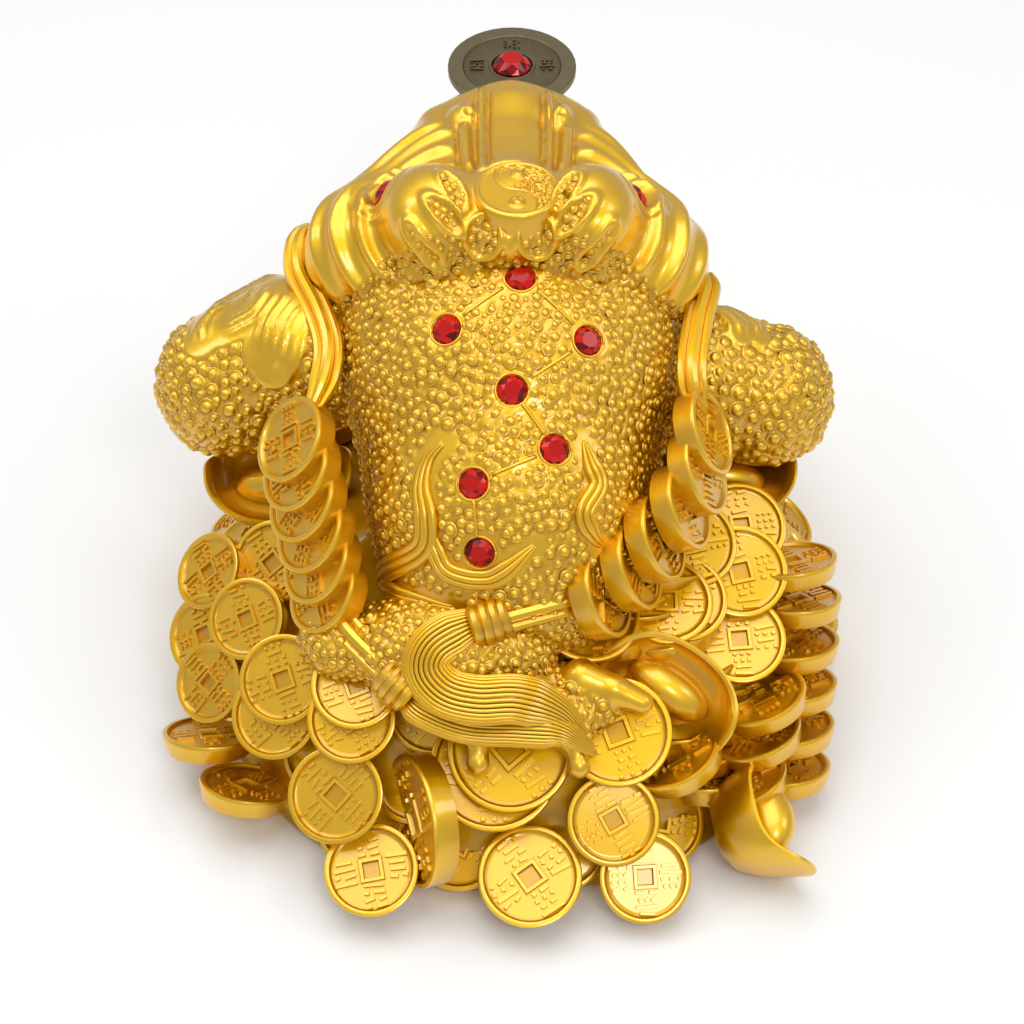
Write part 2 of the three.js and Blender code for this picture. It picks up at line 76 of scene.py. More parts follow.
class Finish:
    """A procedural finish on the Principled shader."""

    def __init__(self, name):
        self.material = bpy.data.materials.new(name)
        self.material.use_nodes = True
        self.tree = self.material.node_tree
        self.shader = self.tree.nodes["Principled BSDF"]

    def feed(self, socket, value):
        if isinstance(value, Value):
            self.tree.links.new(value.socket, socket)
        else:
            socket.default_value = value

    def node(self, kind, output, values=(), **settings):
        """One output of a new node with these settings and input values."""
        node = self.tree.nodes.new("ShaderNode" + kind)
        for key, value in settings.items():
            setattr(node, key, value)
        for key, value in dict(values).items():
            self.feed(node.inputs[key], value)
        return Value(self, node.outputs[output])

    def maths(self, operation, first, second, clamp=False):
        return self.node("Math", 0, {0: first, 1: second}, operation=operation, use_clamp=clamp)

    def mix(self, share, first, second):
        return self.node("Mix", 2, {0: share, 6: first, 7: second}, data_type="RGBA")

    def mark(self, name):
        return self.node("Attribute", "Fac", attribute_name=name)

    def noise(self, size, detail):
        """Noise from 0 to 1 with features about size millimetres across."""
        place = self.node("TexCoord", "Object")
        return self.node("TexNoise", "Fac", {"Vector": place, "Scale": 1 / (size * MM), "Detail": detail})

    def bump(self, height, depth):
        """Bumps by a height from 0 to 1 that stands for depth millimetres."""
        values = {"Height": height, "Distance": depth * MM, "Strength": 1.0}
        self.set(Normal=self.node("Bump", "Normal", values))

    def set(self, **values):
        for key, value in values.items():
            self.feed(self.shader.inputs[key.replace("_", " ")], value)


def colour(red, green, blue):
    return (red, green, blue, 1.0)


def satin_gilding():
    """Gilding with painted shade: browner in the recesses and crevices, where shade falls, and a little
    brighter where it is worn.
    """
    finish = Finish("satin_gilding")
    hollow = finish.mark("hollow")
    cloud = finish.noise(9.0, 3.0)
    grain = finish.noise(0.35, 3.0)
    open_gold, worn_gold = colour(0.83, 0.47, 0.002), colour(0.95, 0.60, 0.012)
    skin = finish.mix((cloud * 0.8 - 0.1).clamped(), open_gold, worn_gold)
    # Painted shade: the hollow mark, with a little random cloud, mixes the gold towards a deep brown.
    depth = (hollow * 0.78 + (cloud - 0.5) * 0.2).clamped()
    finish.bump(grain, 0.03)
    finish.set(
        Base_Color=finish.mix(depth, skin, colour(0.54, 0.265, 0.0)),
        Metallic=1.0,
        Coat_Weight=0.8,
        Coat_IOR=1.7,
        Coat_Roughness=0.12,
        Roughness=(0.34 + cloud * 0.10 + grain * 0.06 + hollow * 0.10).clamped())
    return finish.material


def aged_bronze():
    finish = Finish("aged_bronze")
    hollow = finish.mark("hollow")
    patina = finish.noise(5.0, 4.0)
    scuff = finish.noise(0.8, 4.0)
    bare = finish.mix(scuff, colour(0.19, 0.15, 0.08), colour(0.27, 0.22, 0.13))
    # Painted shade darkens the coin's recesses; the noise adds patches of patina.
    depth = (hollow * 0.7 + patina * 0.5 - 0.1).clamped()
    finish.set(
        Base_Color=finish.mix(depth, bare, colour(0.07, 0.055, 0.03)),
        Metallic=1.0,
        Roughness=0.36 + patina * 0.2)
    finish.bump(scuff, 0.06)
    return finish.material


def red_stone():
    """Foil-backed red glass whose facets carry painted light: each is painted lighter or darker, as if it
    returned more or less of the light.
    """
    finish = Finish("red_stone")
    finish.set(
        Base_Color=finish.mix(finish.mark("painted_facet_shade"), colour(0.86, 0.012, 0.006), colour(0.10, 0.0, 0.001)),
        Roughness=0.04,
        IOR=1.38,
        Transmission_Weight=0.25)
    return finish.material


def felt_flock():
    finish = Finish("felt_flock")
    fibre = finish.noise(0.5, 4.0)
    light = (fibre * 0.6 + finish.noise(7.0, 3.0) * 0.4).clamped()
    finish.set(
        Base_Color=finish.mix(light, colour(0.10, 0.008, 0.016), colour(0.28, 0.03, 0.05)),
        Roughness=0.95,
        Sheen_Weight=0.6)
    finish.bump(fibre, 0.25)
    return finish.material


SATIN = satin_gilding()


# Meshes

class Patchwork:
    """Gathers patches of one piece: corners, faces and the painted shade of each corner."""

    def __init__(self):
        self.corners, self.faces, self.hollows, self.count = [], [], [], 0

    def add(self, corners, faces, hollow=0.0):
        corners = np.asarray(corners, float)
        self.corners.append(corners)
        self.faces.extend([[index + self.count for index in face] for face in faces])
        self.hollows.append(np.broadcast_to(np.asarray(hollow, float), len(corners)))
        self.count += len(corners)

    def piece(self, name, finish, slot, node, crease=SHARP):
        marks = {"hollow": np.concatenate(self.hollows)}
        make_piece(name, np.concatenate(self.corners), self.faces, finish, node, marks, crease)

    def gilded(self, name, crease=SHARP):
        self.piece(name, SATIN, "gilt", "gilt_figure", crease)


def show(name, data):
    item = bpy.data.objects.new(name, data)
    bpy.context.scene.collection.objects.link(item)
    return item


def make_piece(name, corners, faces, finish, node, marks, crease=None):
    mesh = bpy.data.meshes.new(name)
    mesh.from_pydata((corners * MM).tolist(), [], faces)
    mesh.polygons.foreach_set("use_smooth", [True] * len(mesh.polygons))
    for key, value in marks.items():
        mark = mesh.attributes.new(key, "FLOAT", "FACE" if key == "painted_facet_shade" else "POINT")
        mark.data.foreach_set("value", np.asarray(value, np.float32))
    if crease:
        mesh.set_sharp_from_angle(angle=crease)
    mesh.materials.append(finish)
    mesh.update()
    piece = show(name, mesh)
    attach(piece, "root")
    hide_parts(node)


def lengths(vectors):
    return np.linalg.norm(vectors, axis=-1)


def unit(vectors):
    vectors = np.asarray(vectors, float)
    return vectors / lengths(vectors)[..., None]


def circle(count, turn=0.0, closed=False):
    """Cosines and sines of even steps round a circle."""
    angles = np.linspace(0, 2 * np.pi, count, endpoint=closed) + turn
    return np.cos(angles), np.sin(angles)


def corners_at(x, y, z):
    return np.stack(np.broadcast_arrays(x, y, z), axis=-1)


def across_and_up(route, outward):
    """Unit directions sideways and upwards at each point of a route that lies on a skin."""
    tangents = unit(np.gradient(route, axis=0))
    across = unit(np.cross(tangents, outward))
    return across, np.cross(across, tangents)


def ring_faces(rings, sides, first_cap=True):
    """Quads between neighbouring rings of corners, and a fan to an extra corner at each end."""
    faces = []
    for row in range(rings - 1):
        for i in range(sides):
            a, b = row * sides + i, row * sides + (i + 1) % sides
            faces.append((a, b, b + sides, a + sides))
    tip, top = rings * sides, (rings - 1) * sides
    if first_cap:
        faces.extend((tip, (i + 1) % sides, i) for i in range(sides))
        tip += 1
    faces.extend((tip, top + i, top + (i + 1) % sides) for i in range(sides))
    return faces


def loft(patches, rings, shades):
    """A closed skin over rings of corners, which run anticlockwise seen from the end."""
    rings = np.asarray(rings, float)
    count, sides = rings.shape[:2]
    corners = np.concatenate([rings.reshape(-1, 3), [rings[0].mean(0)], [rings[-1].mean(0)]])
    shades = np.broadcast_to(np.asarray(shades, float), count)
    hollow = np.concatenate([np.repeat(shades, sides), shades[:1], shades[-1:]])
    patches.add(corners, ring_faces(count, sides), hollow)


def tube(patches, route, radii, sides=8, outward=UP, squash=1.0, hollow=0.0):
    """A round or oval strand along a route. Squash is its height against its width."""
    route = np.asarray(route, float)
    radii = np.broadcast_to(np.asarray(radii, float), len(route))[:, None, None]
    across, up = across_and_up(route, outward)
    cosines, sines = circle(sides)
    rings = cosines[:, None] * across[:, None] - squash * sines[:, None] * up[:, None]
    corners = np.concatenate([(route[:, None] + radii * rings).reshape(-1, 3), route[:1], route[-1:]])
    # Painted shade, darker on the strand's underside and shifted by the hollow argument.
    shades = np.tile(np.clip(0.5 + 0.9 * sines + hollow, 0, 1), len(route))
    patches.add(corners, ring_faces(len(route), sides), np.append(shades, [0.5, 0.5]))


def pose(place, out, turn=0.0):
    """A function that moves corners so that +Z points along out, after a turn about +Z."""
    spin = math.radians(turn)
    swing = Vector(UP).rotation_difference(Vector(unit(out))).to_matrix()
    matrix = np.array(swing) @ np.array(
        [[math.cos(spin), -math.sin(spin), 0], [math.sin(spin), math.cos(spin), 0], [0, 0, 1]])
    return lambda corners: np.asarray(corners, float) @ matrix.T + np.asarray(place, float)


def facing_way(facing, lean):
    """The way of a face that looks to a bearing and leans back from upright by so many degrees."""
    bearing, rise = math.radians(facing), math.radians(lean)
    return np.array([math.sin(bearing) * math.cos(rise), math.cos(bearing) * math.cos(rise), math.sin(rise)])


def smooth_route(places, count):
    """Points at even steps along a Catmull-Rom curve through the places."""
    places = np.asarray(places, float)
    ends = np.concatenate([[2 * places[0] - places[1]], places, [2 * places[-1] - places[-2]]])
    t = np.linspace(0, 1, 12, endpoint=False)[:, None]
    fine = []
    for p0, p1, p2, p3 in zip(ends, ends[1:], ends[2:], ends[3:]):
        bend, twist = 2 * p0 - 5 * p1 + 4 * p2 - p3, 3 * p1 - p0 - 3 * p2 + p3
        fine.append(0.5 * (2 * p1 + (p2 - p0) * t + bend * t ** 2 + twist * t ** 3))
    fine = np.concatenate(fine + [places[-1:]])
    walked = np.concatenate([[0], np.cumsum(lengths(np.diff(fine, axis=0)))])
    steps = np.linspace(0, walked[-1], count)
    return np.stack([np.interp(steps, walked, fine[:, axis]) for axis in range(3)], axis=1)


# Distance fields of the carving

def blob(place, radii):
    def distance(x, y, z):
        px, py, pz = x - place[0], y - place[1], z - place[2]
        scaled = np.sqrt((px / radii[0]) ** 2 + (py / radii[1]) ** 2 + (pz / radii[2]) ** 2)
        slope = np.sqrt((px / radii[0] ** 2) ** 2 + (py / radii[1] ** 2) ** 2 + (pz / radii[2] ** 2) ** 2)
        return scaled * (scaled - 1) / np.maximum(slope, 1e-6)
    return distance


def limb(start, end, start_radius, end_radius):
    along = np.subtract(end, start)

    def distance(x, y, z):
        px, py, pz = x - start[0], y - start[1], z - start[2]
        share = np.clip((px * along[0] + py * along[1] + pz * along[2]) / (along @ along), 0, 1)
        rest = (px - share * along[0]) ** 2 + (py - share * along[1]) ** 2 + (pz - share * along[2]) ** 2
        return np.sqrt(rest) - (start_radius + share * (end_radius - start_radius))
    return distance


def union(*fields):
    def distance(x, y, z):
        nearest = fields[0](x, y, z)
        for field in fields[1:]:
            nearest = np.minimum(nearest, field(x, y, z))
        return nearest
    return distance


def chain(places, radii):
    return union(*[limb(*link) for link in zip(places, places[1:], radii, radii[1:])])


def mirrored(field):
    return lambda x, y, z: field(np.abs(x), y, z)


def blend(softness, *fields):
    def distance(x, y, z):
        nearest = fields[0](x, y, z)
        for field in fields[1:]:
            other = field(x, y, z)
            overlap = np.maximum(softness - np.abs(nearest - other), 0)
            nearest = np.minimum(nearest, other) - overlap * overlap / (4 * softness)
        return nearest
    return distance


def at(field, points):
    return field(points[:, 0], points[:, 1], points[:, 2])


def slope(field, points, step=0.1):
    """Directions straight out of the skin."""
    shifts = step * np.eye(3)
    normals = np.stack([at(field, points + shift) - at(field, points - shift) for shift in shifts], axis=1)
    return normals / np.maximum(lengths(normals), 1e-9)[:, None]


def settle(field, points, rounds=4):
    """Points moved straight onto the skin."""
    points = np.array(points, float)
    for _ in range(rounds):
        points -= slope(field, points) * at(field, points)[:, None]
    return points


def cast_skin(field, low, high, cell):
    """Quads over the skin of a field inside a box, one corner in each cell that it passes."""
    low = np.asarray(low, float)
    counts = np.ceil((np.asarray(high) - low) / cell).astype(int) + 1
    x, y, z = ((low[axis] + cell * np.arange(counts[axis])).astype(np.float32) for axis in range(3))
    grid = field(x[:, None, None], y[None, :, None], z[None, None, :])
    points, cubes = [], []
    for axis in range(3):
        a, b = np.delete(grid, -1, axis), np.delete(grid, 0, axis)
        where = np.argwhere((a < 0) != (b < 0))
        a, b = a[tuple(where.T)], b[tuple(where.T)]
        point = where.astype(float)
        point[:, axis] += a / (a - b)
        shifts = np.zeros((4, 3), int)
        shifts[:, [k for k in range(3) if k != axis]] = (-1, -1), (0, -1), (0, 0), (-1, 0)
        around = np.maximum(where[:, None] + shifts, 0)
        quads = np.ravel_multi_index(tuple(np.moveaxis(around, -1, 0)), counts)
        flip = (a > 0) == (axis != 1)
        quads[flip] = quads[flip][:, ::-1]
        points.append(point)
        cubes.append(quads)
    points, cubes = np.concatenate(points), np.concatenate(cubes)
    index = np.unique(cubes, return_inverse=True)[1].reshape(-1, 4)
    hits = np.bincount(index.ravel())
    sums = [np.bincount(index.ravel(), np.repeat(points[:, k], 4)) for k in range(3)]
    corners = low + cell * np.stack(sums, axis=1) / hits[:, None]
    return settle(field, corners, 2), index


# Marks on a skin, with heights in millimetres

def step_down(low, high, value):
    """1 below low, 0 above high, smooth between."""
    share = np.clip((value - low) / (high - low), 0, 1)
    return 1 - share * share * (3 - 2 * share)


def step_up(low, high, value):
    return 1 - step_down(low, high, value)


def dome(share):
    return np.sqrt(np.clip(1 - share * share, 0, 1))


def hill(offset, width):
    return np.exp(-(offset / width) ** 2)


def waves(offset, length):
    return 0.5 + 0.5 * np.cos(2 * np.pi * offset / length)


def line_gap(points, route):
    """The distance to a route and the share of the way along it."""
    nearest = np.full(len(points), 1e9)
    share = np.zeros(len(points))
    for i, (a, b) in enumerate(zip(route, route[1:])):
        step = b - a
        t = np.clip((points - a) @ step / (step @ step), 0, 1)
        gap = lengths(points - a - t[:, None] * step)
        closer = gap < nearest
        nearest[closer] = gap[closer]
        share[closer] = (i + t[closer]) / (len(route) - 1)
    return nearest, share


def band_cover(points, route, width):
    """Where a band of strands along a route covers the skin."""
    return step_down(width / 2, width / 2 + 0.8, line_gap(points, route)[0])


def skin_route(field, places):
    return settle(field, smooth_route(places, 8 * len(places)))


def laid_strands(patches, field, places, width):
    """Three round strands side by side along a route on the skin, which draw together at its ends."""
    route = skin_route(field, places)
    normals = slope(field, route)
    across, _ = across_and_up(route, normals)
    share = np.linspace(0, 1, len(route))
    size = np.minimum(1, 0.15 + 3.5 * np.minimum(share, 1 - share)) ** 0.8
    radius = width * 0.2
    for lane in (-1, 0, 1):
        offset = lane * (width / 2 - radius * 0.8)
        high = radius * (0.8 - 0.35 * abs(lane))
        middles = route + (offset * size)[:, None] * across + (high * size)[:, None] * normals
        # Painted shade: the laid strands are painted a little lighter.
        tube(patches, middles, radius * size, 8, normals, hollow=-0.15)


def scatter(points, spacing, seed):
    """Indices of points picked at random, no two closer than the spacing."""
    taken, kept = {}, []
    cells = np.floor(points / spacing).astype(int)
    around = np.array(list(itertools.product((-1, 0, 1), repeat=3)))
    for i in seeded(seed).permutation(len(points)):
        near = [taken[key] for key in map(tuple, (cells[i] + around).tolist()) if key in taken]
        if all(np.sum((points[i] - points[j]) ** 2) > spacing ** 2 for j in near):
            taken[tuple(cells[i].tolist())] = i
            kept.append(i)
    return kept


# A bead's section: shares of its radius out from its middle and up from the skin, and its painted shade
bead_section = [
    (1.5, -0.25, 0.8), (1.26, 0.22, 0.1), (1.02, 0.0, 0.9), (0.86, 0.36, 0.15), (0.48, 0.62, 0.0)]
bead_top = 0.7
bead_wobble = 0.035
bead_rng = seeded(17)


def beads(patches, middles, normals, radii, sides):
    """Round warts, each with a ring about it."""
    cosines, sines = circle(sides)
    sideways = unit(np.cross(normals, np.where(np.abs(normals[:, :1]) < 0.7, [1.0, 0, 0], [0, 1.0, 0])))
    other = np.cross(normals, sideways)
    around = cosines[:, None] * sideways[:, None] + sines[:, None] * other[:, None]
    middles, normals, radii = middles[:, None], normals[:, None], radii[:, None, None]
    rings = [middles + radii * (out * around + up * normals) for out, up, _ in bead_section]
    corners = np.concatenate(rings + [middles + bead_top * radii * normals], axis=1)
    corners += bead_rng.normal(0, bead_wobble, corners.shape) * radii
    # Painted shade: dark in the groove and at the foot of each bead, light on its ring and dome.
    shades = np.append(np.repeat([shade for _, _, shade in bead_section], sides), 0.0)
    faces = ring_faces(len(bead_section), sides, first_cap=False)
    for bead in corners:
        patches.add(bead, faces, shades)


# The toad's forms, as in the casting's solid

trunk = blend(14,
    blob((0, 26, 84), (44, 34, 36)),
    blob((0, -2, 68), (37, 32, 32)),
    blob((0, -22, 54), (29, 20, 20)))
skull = blend(8,
    blob((-1, 52, 108), (46, 29, 22)),
    blob((0, 68, 117), (27, 26, 14)),
    blob((-36, 48, 108), (16.5, 15, 17)),
    blob((33.5, 44, 107), (17, 16, 17)))
brow_mounds = mirrored(blob((19.5, 41, 127), (12.5, 14, 12)))
brows = blend(5, brow_mounds, blob((0, 40, 126), (21, 14, 10.5)))
snout_ridge = chain(
    [(0, 47, 126), (0, 56, 122.5), (0, 66, 119), (0, 76, 120.5), (0, 86, 122)], [9, 8.5, 8, 8.5, 8.5])
snout_tip = blob((0.5, 85.5, 120.5), (20.5, 11, 9.5))
lip = chain(
    [(-46.5, 47, 104), (-41.5, 58, 108), (-32, 70, 112), (-19, 83, 119), (0, 91, 122), (18, 83, 119),
     (28.5, 70, 112), (35.5, 58, 108), (43, 45, 104)], [5.5, 6, 6, 6, 5.5, 6, 6, 6, 5.5])
nostrils = mirrored(blob((12.6, 79, 128.3), (2.2, 2.2, 1.9)))
head = blend(5, blend(6, skull, brows, snout_ridge), snout_tip, lip, nostrils)
back = blend(10, trunk, blob((0, 38, 98), (43, 22, 24)))
toad = blend(2, back, head)


def foreleg(root, shoulder, elbow, elbow_radius):
    return blend(8, blob(root, (17, 17, 17)), limb(shoulder, elbow, 17.5, elbow_radius))


left_foreleg = foreleg((-46, 34, 82), (-58, 39, 84), (-75, 35, 73), 19.5)
right_foreleg = foreleg((45, 31, 78), (53, 32, 78), (67, 31.5, 72), 18.8)
toe_places = [(51, 83, 37), (61, 85.5, 37), (71, 82, 37)]
hand = blend(3, blob((61, 72, 40), (16, 14, 9)), *[
    blend(2, limb((61 + (x - 61) * 0.5, 72, 39), (x, y, z), 4.5, 4.5), blob((x, y, z), (5.5, 6.5, 5)))
    for x, y, z in toe_places])
forearms = mirrored(blend(6, limb((71, 36, 66), (62, 64, 44), 15, 10), hand))
hind_toes = blend(1,
    limb((-8, -55, 41), (-8, -62, 37.5), 4.5, 2.4), blob((-8, -63, 36.6), (3, 3, 3)),
    limb((15, -56, 41), (17, -63, 37.5), 4.5, 2.4), blob((17.2, -64, 36.6), (3, 3, 3)),
    limb((18, -46, 50), (26, -49, 48.5), 4.6, 3.6), limb((26, -49, 48.5), (33, -51.5, 46.5), 3.9, 3.0))
hind_leg = blend(4,
    blob((-14, -38, 52), (26, 16, 14)),
    blob((-41, -34, 50), (12.5, 11, 9)),
    blob((8, -49, 43), (20, 11, 8)),
    hind_toes)
everything = union(toad, left_foreleg, right_foreleg, forearms, hind_leg)

back_gem_places = [
    (2.5, 24.5, 118.5), (-15, 13.5, 112), (18.5, 12, 110), (0.5, 0.5, 104.5), (11, -12.5, 97.5),
    (-8.5, -18.5, 91), (-7, -29, 79)]
dipper_lines = [(0, 1), (0, 2), (2, 3), (3, 4), (4, 5), (5, 6)]
dipper_line_width = 1.4
dipper_line_radius = 0.5
gem_points = settle(toad, back_gem_places)
gem_normals = slope(toad, gem_points, 0.05)
gem_seat_radius = 3.3
gem_seat_depth = 0.8
gem_collar_radius = 4.15
gem_collar_thickness = 0.36
eye_places = [(-31, 49, 122), (31, 49, 122)]
eye_facings = [(-0.82, 0.42, 0.38), (0.82, 0.42, 0.38)]

# The flame bands on the back: their routes and widths
flames = [
    ([(-16.4, -10.2, 97.6), (-20.4, -12.7, 94.2), (-22.1, -17.4, 89.8), (-20.9, -23.6, 84.6),
      (-22.2, -27.6, 77.2), (-32.1, -23.5, 64), (-35.2, -23.5, 58), (-26.1, -35.6, 65.1),
      (-15.3, -39.6, 67.3)], 6.2),
    ([(-20.9, -22, 85), (-18.5, -28.9, 78.7), (-15.3, -32.7, 74.8), (-7.1, -35.1, 74.6), (-1.7, -34.3, 76.6),
      (6.1, -30.2, 82.3)], 5.0),
    ([(18.4, -9.2, 97.3), (20.2, -13.6, 93.6), (22.1, -17.4, 89.8), (18.4, -23.5, 86.3), (21.2, -26.3, 80.5),
      (24, -26.5, 76.6)], 5.0)]

# Ridges on one half of the snout: how far out they start and end, from which y to which, and their widths
flutes = [(8.9, 8.4, 91, 50, 1.0), (13.4, 11.9, 75, 51, 1.5)]
snout_middle = 1.4
nostril_place = (12.2, 78, 131.5)
# The disc between the brows: the middle of its top, its radius and the gap from it to the crease round it
disc_place = (1.8, 39, 136.75)
disc_radius = 10.6
disc_gap = 0.9
# The leaves behind one brow: both tips and half the width
leaves = [
    ((17.5, 42.5, 137), (11.5, 33, 134.5), 2.6),
    ((20.5, 35.5, 136), (11.5, 28.6, 131), 2.6),
    ((25, 31.5, 132.5), (17, 26.8, 122.5), 2.7),
    ((6.6, 32.2, 134), (6.2, 26.5, 125), 4.8)]
mouth_route = [
    (-48, 44, 101), (-43, 55, 104.5), (-33, 68, 110), (-22, 80, 116), (-12, 90, 119.5), (0, 96, 121.5),
    (11.5, 90, 119.5), (21, 80, 116), (29.5, 68, 110), (38, 55, 104.5), (44, 44, 101)]


def hollowness(points, normals, reach=2.4):
    """How much of the room above the skin other forms take up, from 0 to 1."""
    return np.clip(1 - at(everything, points + reach * normals) / reach, 0, 1)


def unevenness(points):
    """Slow lumps of hand work, in millimetres."""
    x, y, z = points.T
    lumps = np.sin(1.1 * x + 1.9 * np.sin(0.43 * y)) * np.sin(0.95 * y + 0.6 * z + 1.6 * np.sin(0.51 * x))
    return 0.30 * lumps + 0.20 * np.sin(1.9 * x - 1.3 * z + 2.0 * np.sin(0.7 * y))


def toad_piece(name, field, low, high, cell, relief, seed, bead_gap=2.2, bead_radius=1.22, bead_sides=8):
    """One form of the toad: its skin, raised by the relief, and warts where it doesn't face down."""
    corners, faces = cast_skin(field, low, high, cell)
    normals = slope(field, corners)
    height, beaded = relief(corners)
    beaded = beaded * step_down(0.45, 0.7, -normals[:, 2])
    height = height + beaded * unevenness(corners)
    # Painted shade: darker where other forms crowd the skin and on the beaded skin between the warts,
    # lighter on raised relief and darker in its grooves.
    hollow = np.clip(hollowness(corners, normals) + 0.45 * beaded - 0.12 * height, 0, 1)
    raised = corners + normals * height[:, None]
    make_piece(name, raised, faces.tolist(), SATIN, "gilt_figure", {"hollow": hollow})
    inside = np.flatnonzero((beaded > 0.85) & (hollowness(corners, normals, 1.0) < 0.9))
    picks = inside[scatter(corners[inside], bead_gap, seed)]
    radii = bead_radius * seeded(seed).uniform(0.66, 1.2, len(picks))
    warts = Patchwork()
    beads(warts, raised[picks], normals[picks], radii, bead_sides)
    warts.gilded(name + "_warts", None)


def dipper_route(start, end):
    return settle(toad, np.linspace(gem_points[start], gem_points[end], 18))[4:-4]


def back_relief(points):
    """Warts all over, but for seats under the gems and bare skin under the bands and lines."""
    height = smooth = 0.0
    for gem in gem_points:
        gap = lengths(points - gem)
        height = height - gem_seat_depth * step_down(gem_seat_radius, gem_seat_radius + 0.7, gap)
        smooth = np.maximum(smooth, step_down(5.0, 5.6, gap))
    routes = [(dipper_route(*line), dipper_line_width) for line in dipper_lines]
    routes += [(skin_route(toad, places), width + 1.0) for places, width in flames]
    for route, width in routes:
        smooth = np.maximum(smooth, band_cover(points, route, width))
    return height, np.clip(1 - smooth, 0, 1)


def back_ornament():
    """The flame bands, the lines between the gems and the gems' collars, laid on the back."""
    patches = Patchwork()
    for places, width in flames:
        laid_strands(patches, toad, places, width)
    for line in dipper_lines:
        route = dipper_route(*line)
        tube(patches, route + 0.1 * slope(toad, route), dipper_line_radius, 6, slope(toad, route))
    cosines, sines = circle(33, closed=True)
    collar = corners_at(gem_collar_radius * cosines, gem_collar_radius * sines, -0.15)
    for gem, out in zip(gem_points, gem_normals):
        tube(patches, pose(gem, out)(collar), gem_collar_thickness, 6, out)
    patches.gilded("back_ornament", None)


def leaf_mark(points, start, end, half_width, rim=0.7):
    """A leaf's raised rim, its inside and the skin that it covers."""
    length = lengths(end - start) / 2
    along = (end - start) / (2 * length)
    rest = points - (start + end) / 2
    u = rest @ along
    v = lengths(rest - u[:, None] * along)
    share = np.sqrt((u / length) ** 2 + (v / half_width) ** 2)
    return hill((share - 1) * half_width, rim), step_down(0.75, 1.0, share), step_down(1.1, 1.3, share)


def snout_marks(x, y, z):
    """The flutes of the snout and the sunk panel between them."""
    panel = step_down(7.6, 8.4, x) * step_down(89, 92.5, y) * step_up(54, 58, y) * step_up(116, 120, z)
    height = -0.5 * panel
    for front, rear, start, end, width in flutes:
        share = (start - y) / (start - end)
        ends = np.clip(np.minimum(share, 1 - share) * 8, 0, 1) * step_up(113, 117, z)
        gap = np.abs(x - front - (rear - front) * np.clip(share, 0, 1) ** 2)
        height += ends * (1.2 * dome(gap / width) - 1.1 * hill(gap - width - 0.5, 0.6))
    return height


def cheek_folds(x, y, mound):
    """Folds down the cheeks, softer ones on the jowls and a crease round the brows and the disc."""
    on_cheek = step_up(14, 20, x) * step_up(23, 33, y) * step_up(0.4, 1.9, mound) * step_down(19, 26, mound)
    on_jowl = step_up(18, 24, x) * step_up(20, 23, mound) * step_down(36, 40, mound)
    brow_edge = np.minimum(mound, np.hypot(x, y - disc_place[1]) - disc_radius - disc_gap)
    crease = hill(brow_edge - 1.3, 0.9) * step_up(46, 50, y) * step_down(20, 25, x)
    folds = 1.9 * waves(mound - 3.4 + 0.15 * x, 8.2) ** 1.6 * on_cheek
    return folds + 0.8 * waves(mound - 24, 9.5) * on_jowl - 1.2 * crease


def face_marks(points, half):
    """The rings of the eyes, the line of the mouth and the nostrils."""
    gap = np.minimum(*[lengths(points - eye) for eye in settle(head, eye_places)])
    height = 0.8 * hill(gap - 6.2, 0.9) + 0.5 * hill(gap - 9.2, 0.9) - 0.9 * step_down(4.3, 5.0, gap)
    gap, _ = line_gap(points, smooth_route(settle(head, mouth_route), 48))
    height += 0.4 * hill(gap - 2.4, 0.9) - 1.3 * hill(gap, 0.9)
    gap = lengths(half - settle(head, [nostril_place])[0])
    return height + 0.3 * hill(gap - 1.9, 0.6) - 0.9 * hill(gap, 0.9)


def head_relief(points):
    """The head's marks, and warts behind the brows and inside the leaves."""
    half = points * 1.0
    half[:, 0] = np.abs(half[:, 0] - snout_middle * step_up(42, 55, half[:, 1]))
    x, y, z = half.T
    height = snout_marks(x, y, z) + cheek_folds(x, y, at(brow_mounds, half)) + face_marks(points, half)
    nape = step_down(130.5, 132.5, z) * step_down(33.5, 35, y)
    nape *= step_down(0, 3, x - 19 - 0.9 * np.maximum(131 - z, 0))
    tongue = step_down(0.9, 1.1, x / np.maximum((z - 123) * 0.32, 0.2))
    foot = step_down(117.5, 127, z) * step_down(31, 34, y) * step_down(22, 30, x) * step_up(6, 9, x)
    height += 0.5 * tongue * nape + 3.0 * foot
    beaded = nape * (1 - tongue)
    for start, end, half_width in leaves:
        ridge, inside, cover = leaf_mark(half, *settle(head, [start, end]), half_width)
        height = height * (1 - 0.8 * inside) + 1.2 * ridge - 0.4 * inside
        beaded = np.maximum(beaded * (1 - cover), inside)
    return height, beaded


def limb_relief(bands, width):
    """Warts all over a limb, but for a smooth patch with wavy folds, fading towards its foot."""
    def relief(points):
        smooth = folds = 0.0
        for places in bands:
            gap, share = line_gap(points, settle(everything, smooth_route(places, 24)))
            smooth = np.maximum(smooth, step_down(width / 2, width / 2 + 0.9, gap))
            ends = np.clip(np.minimum(share, 1 - share) * 6, 0, 1)
            folds = folds + ends * (1.1 * hill(gap, 0.9) + 0.5 * hill(gap - 2.4, 0.8))
        return 0.9 * smooth + folds, (1 - smooth) * step_up(46, 52, points[:, 2])
    return relief


def hand_relief(points):
    """Warts down to the smooth hands."""
    return 0.0, step_down(60, 70, points[:, 1])


def hind_relief(points):
    """Warts all over the haunch and the foot, but for the smooth toes."""
    return 0.0, step_up(0.4, 1.2, at(hind_toes, points))


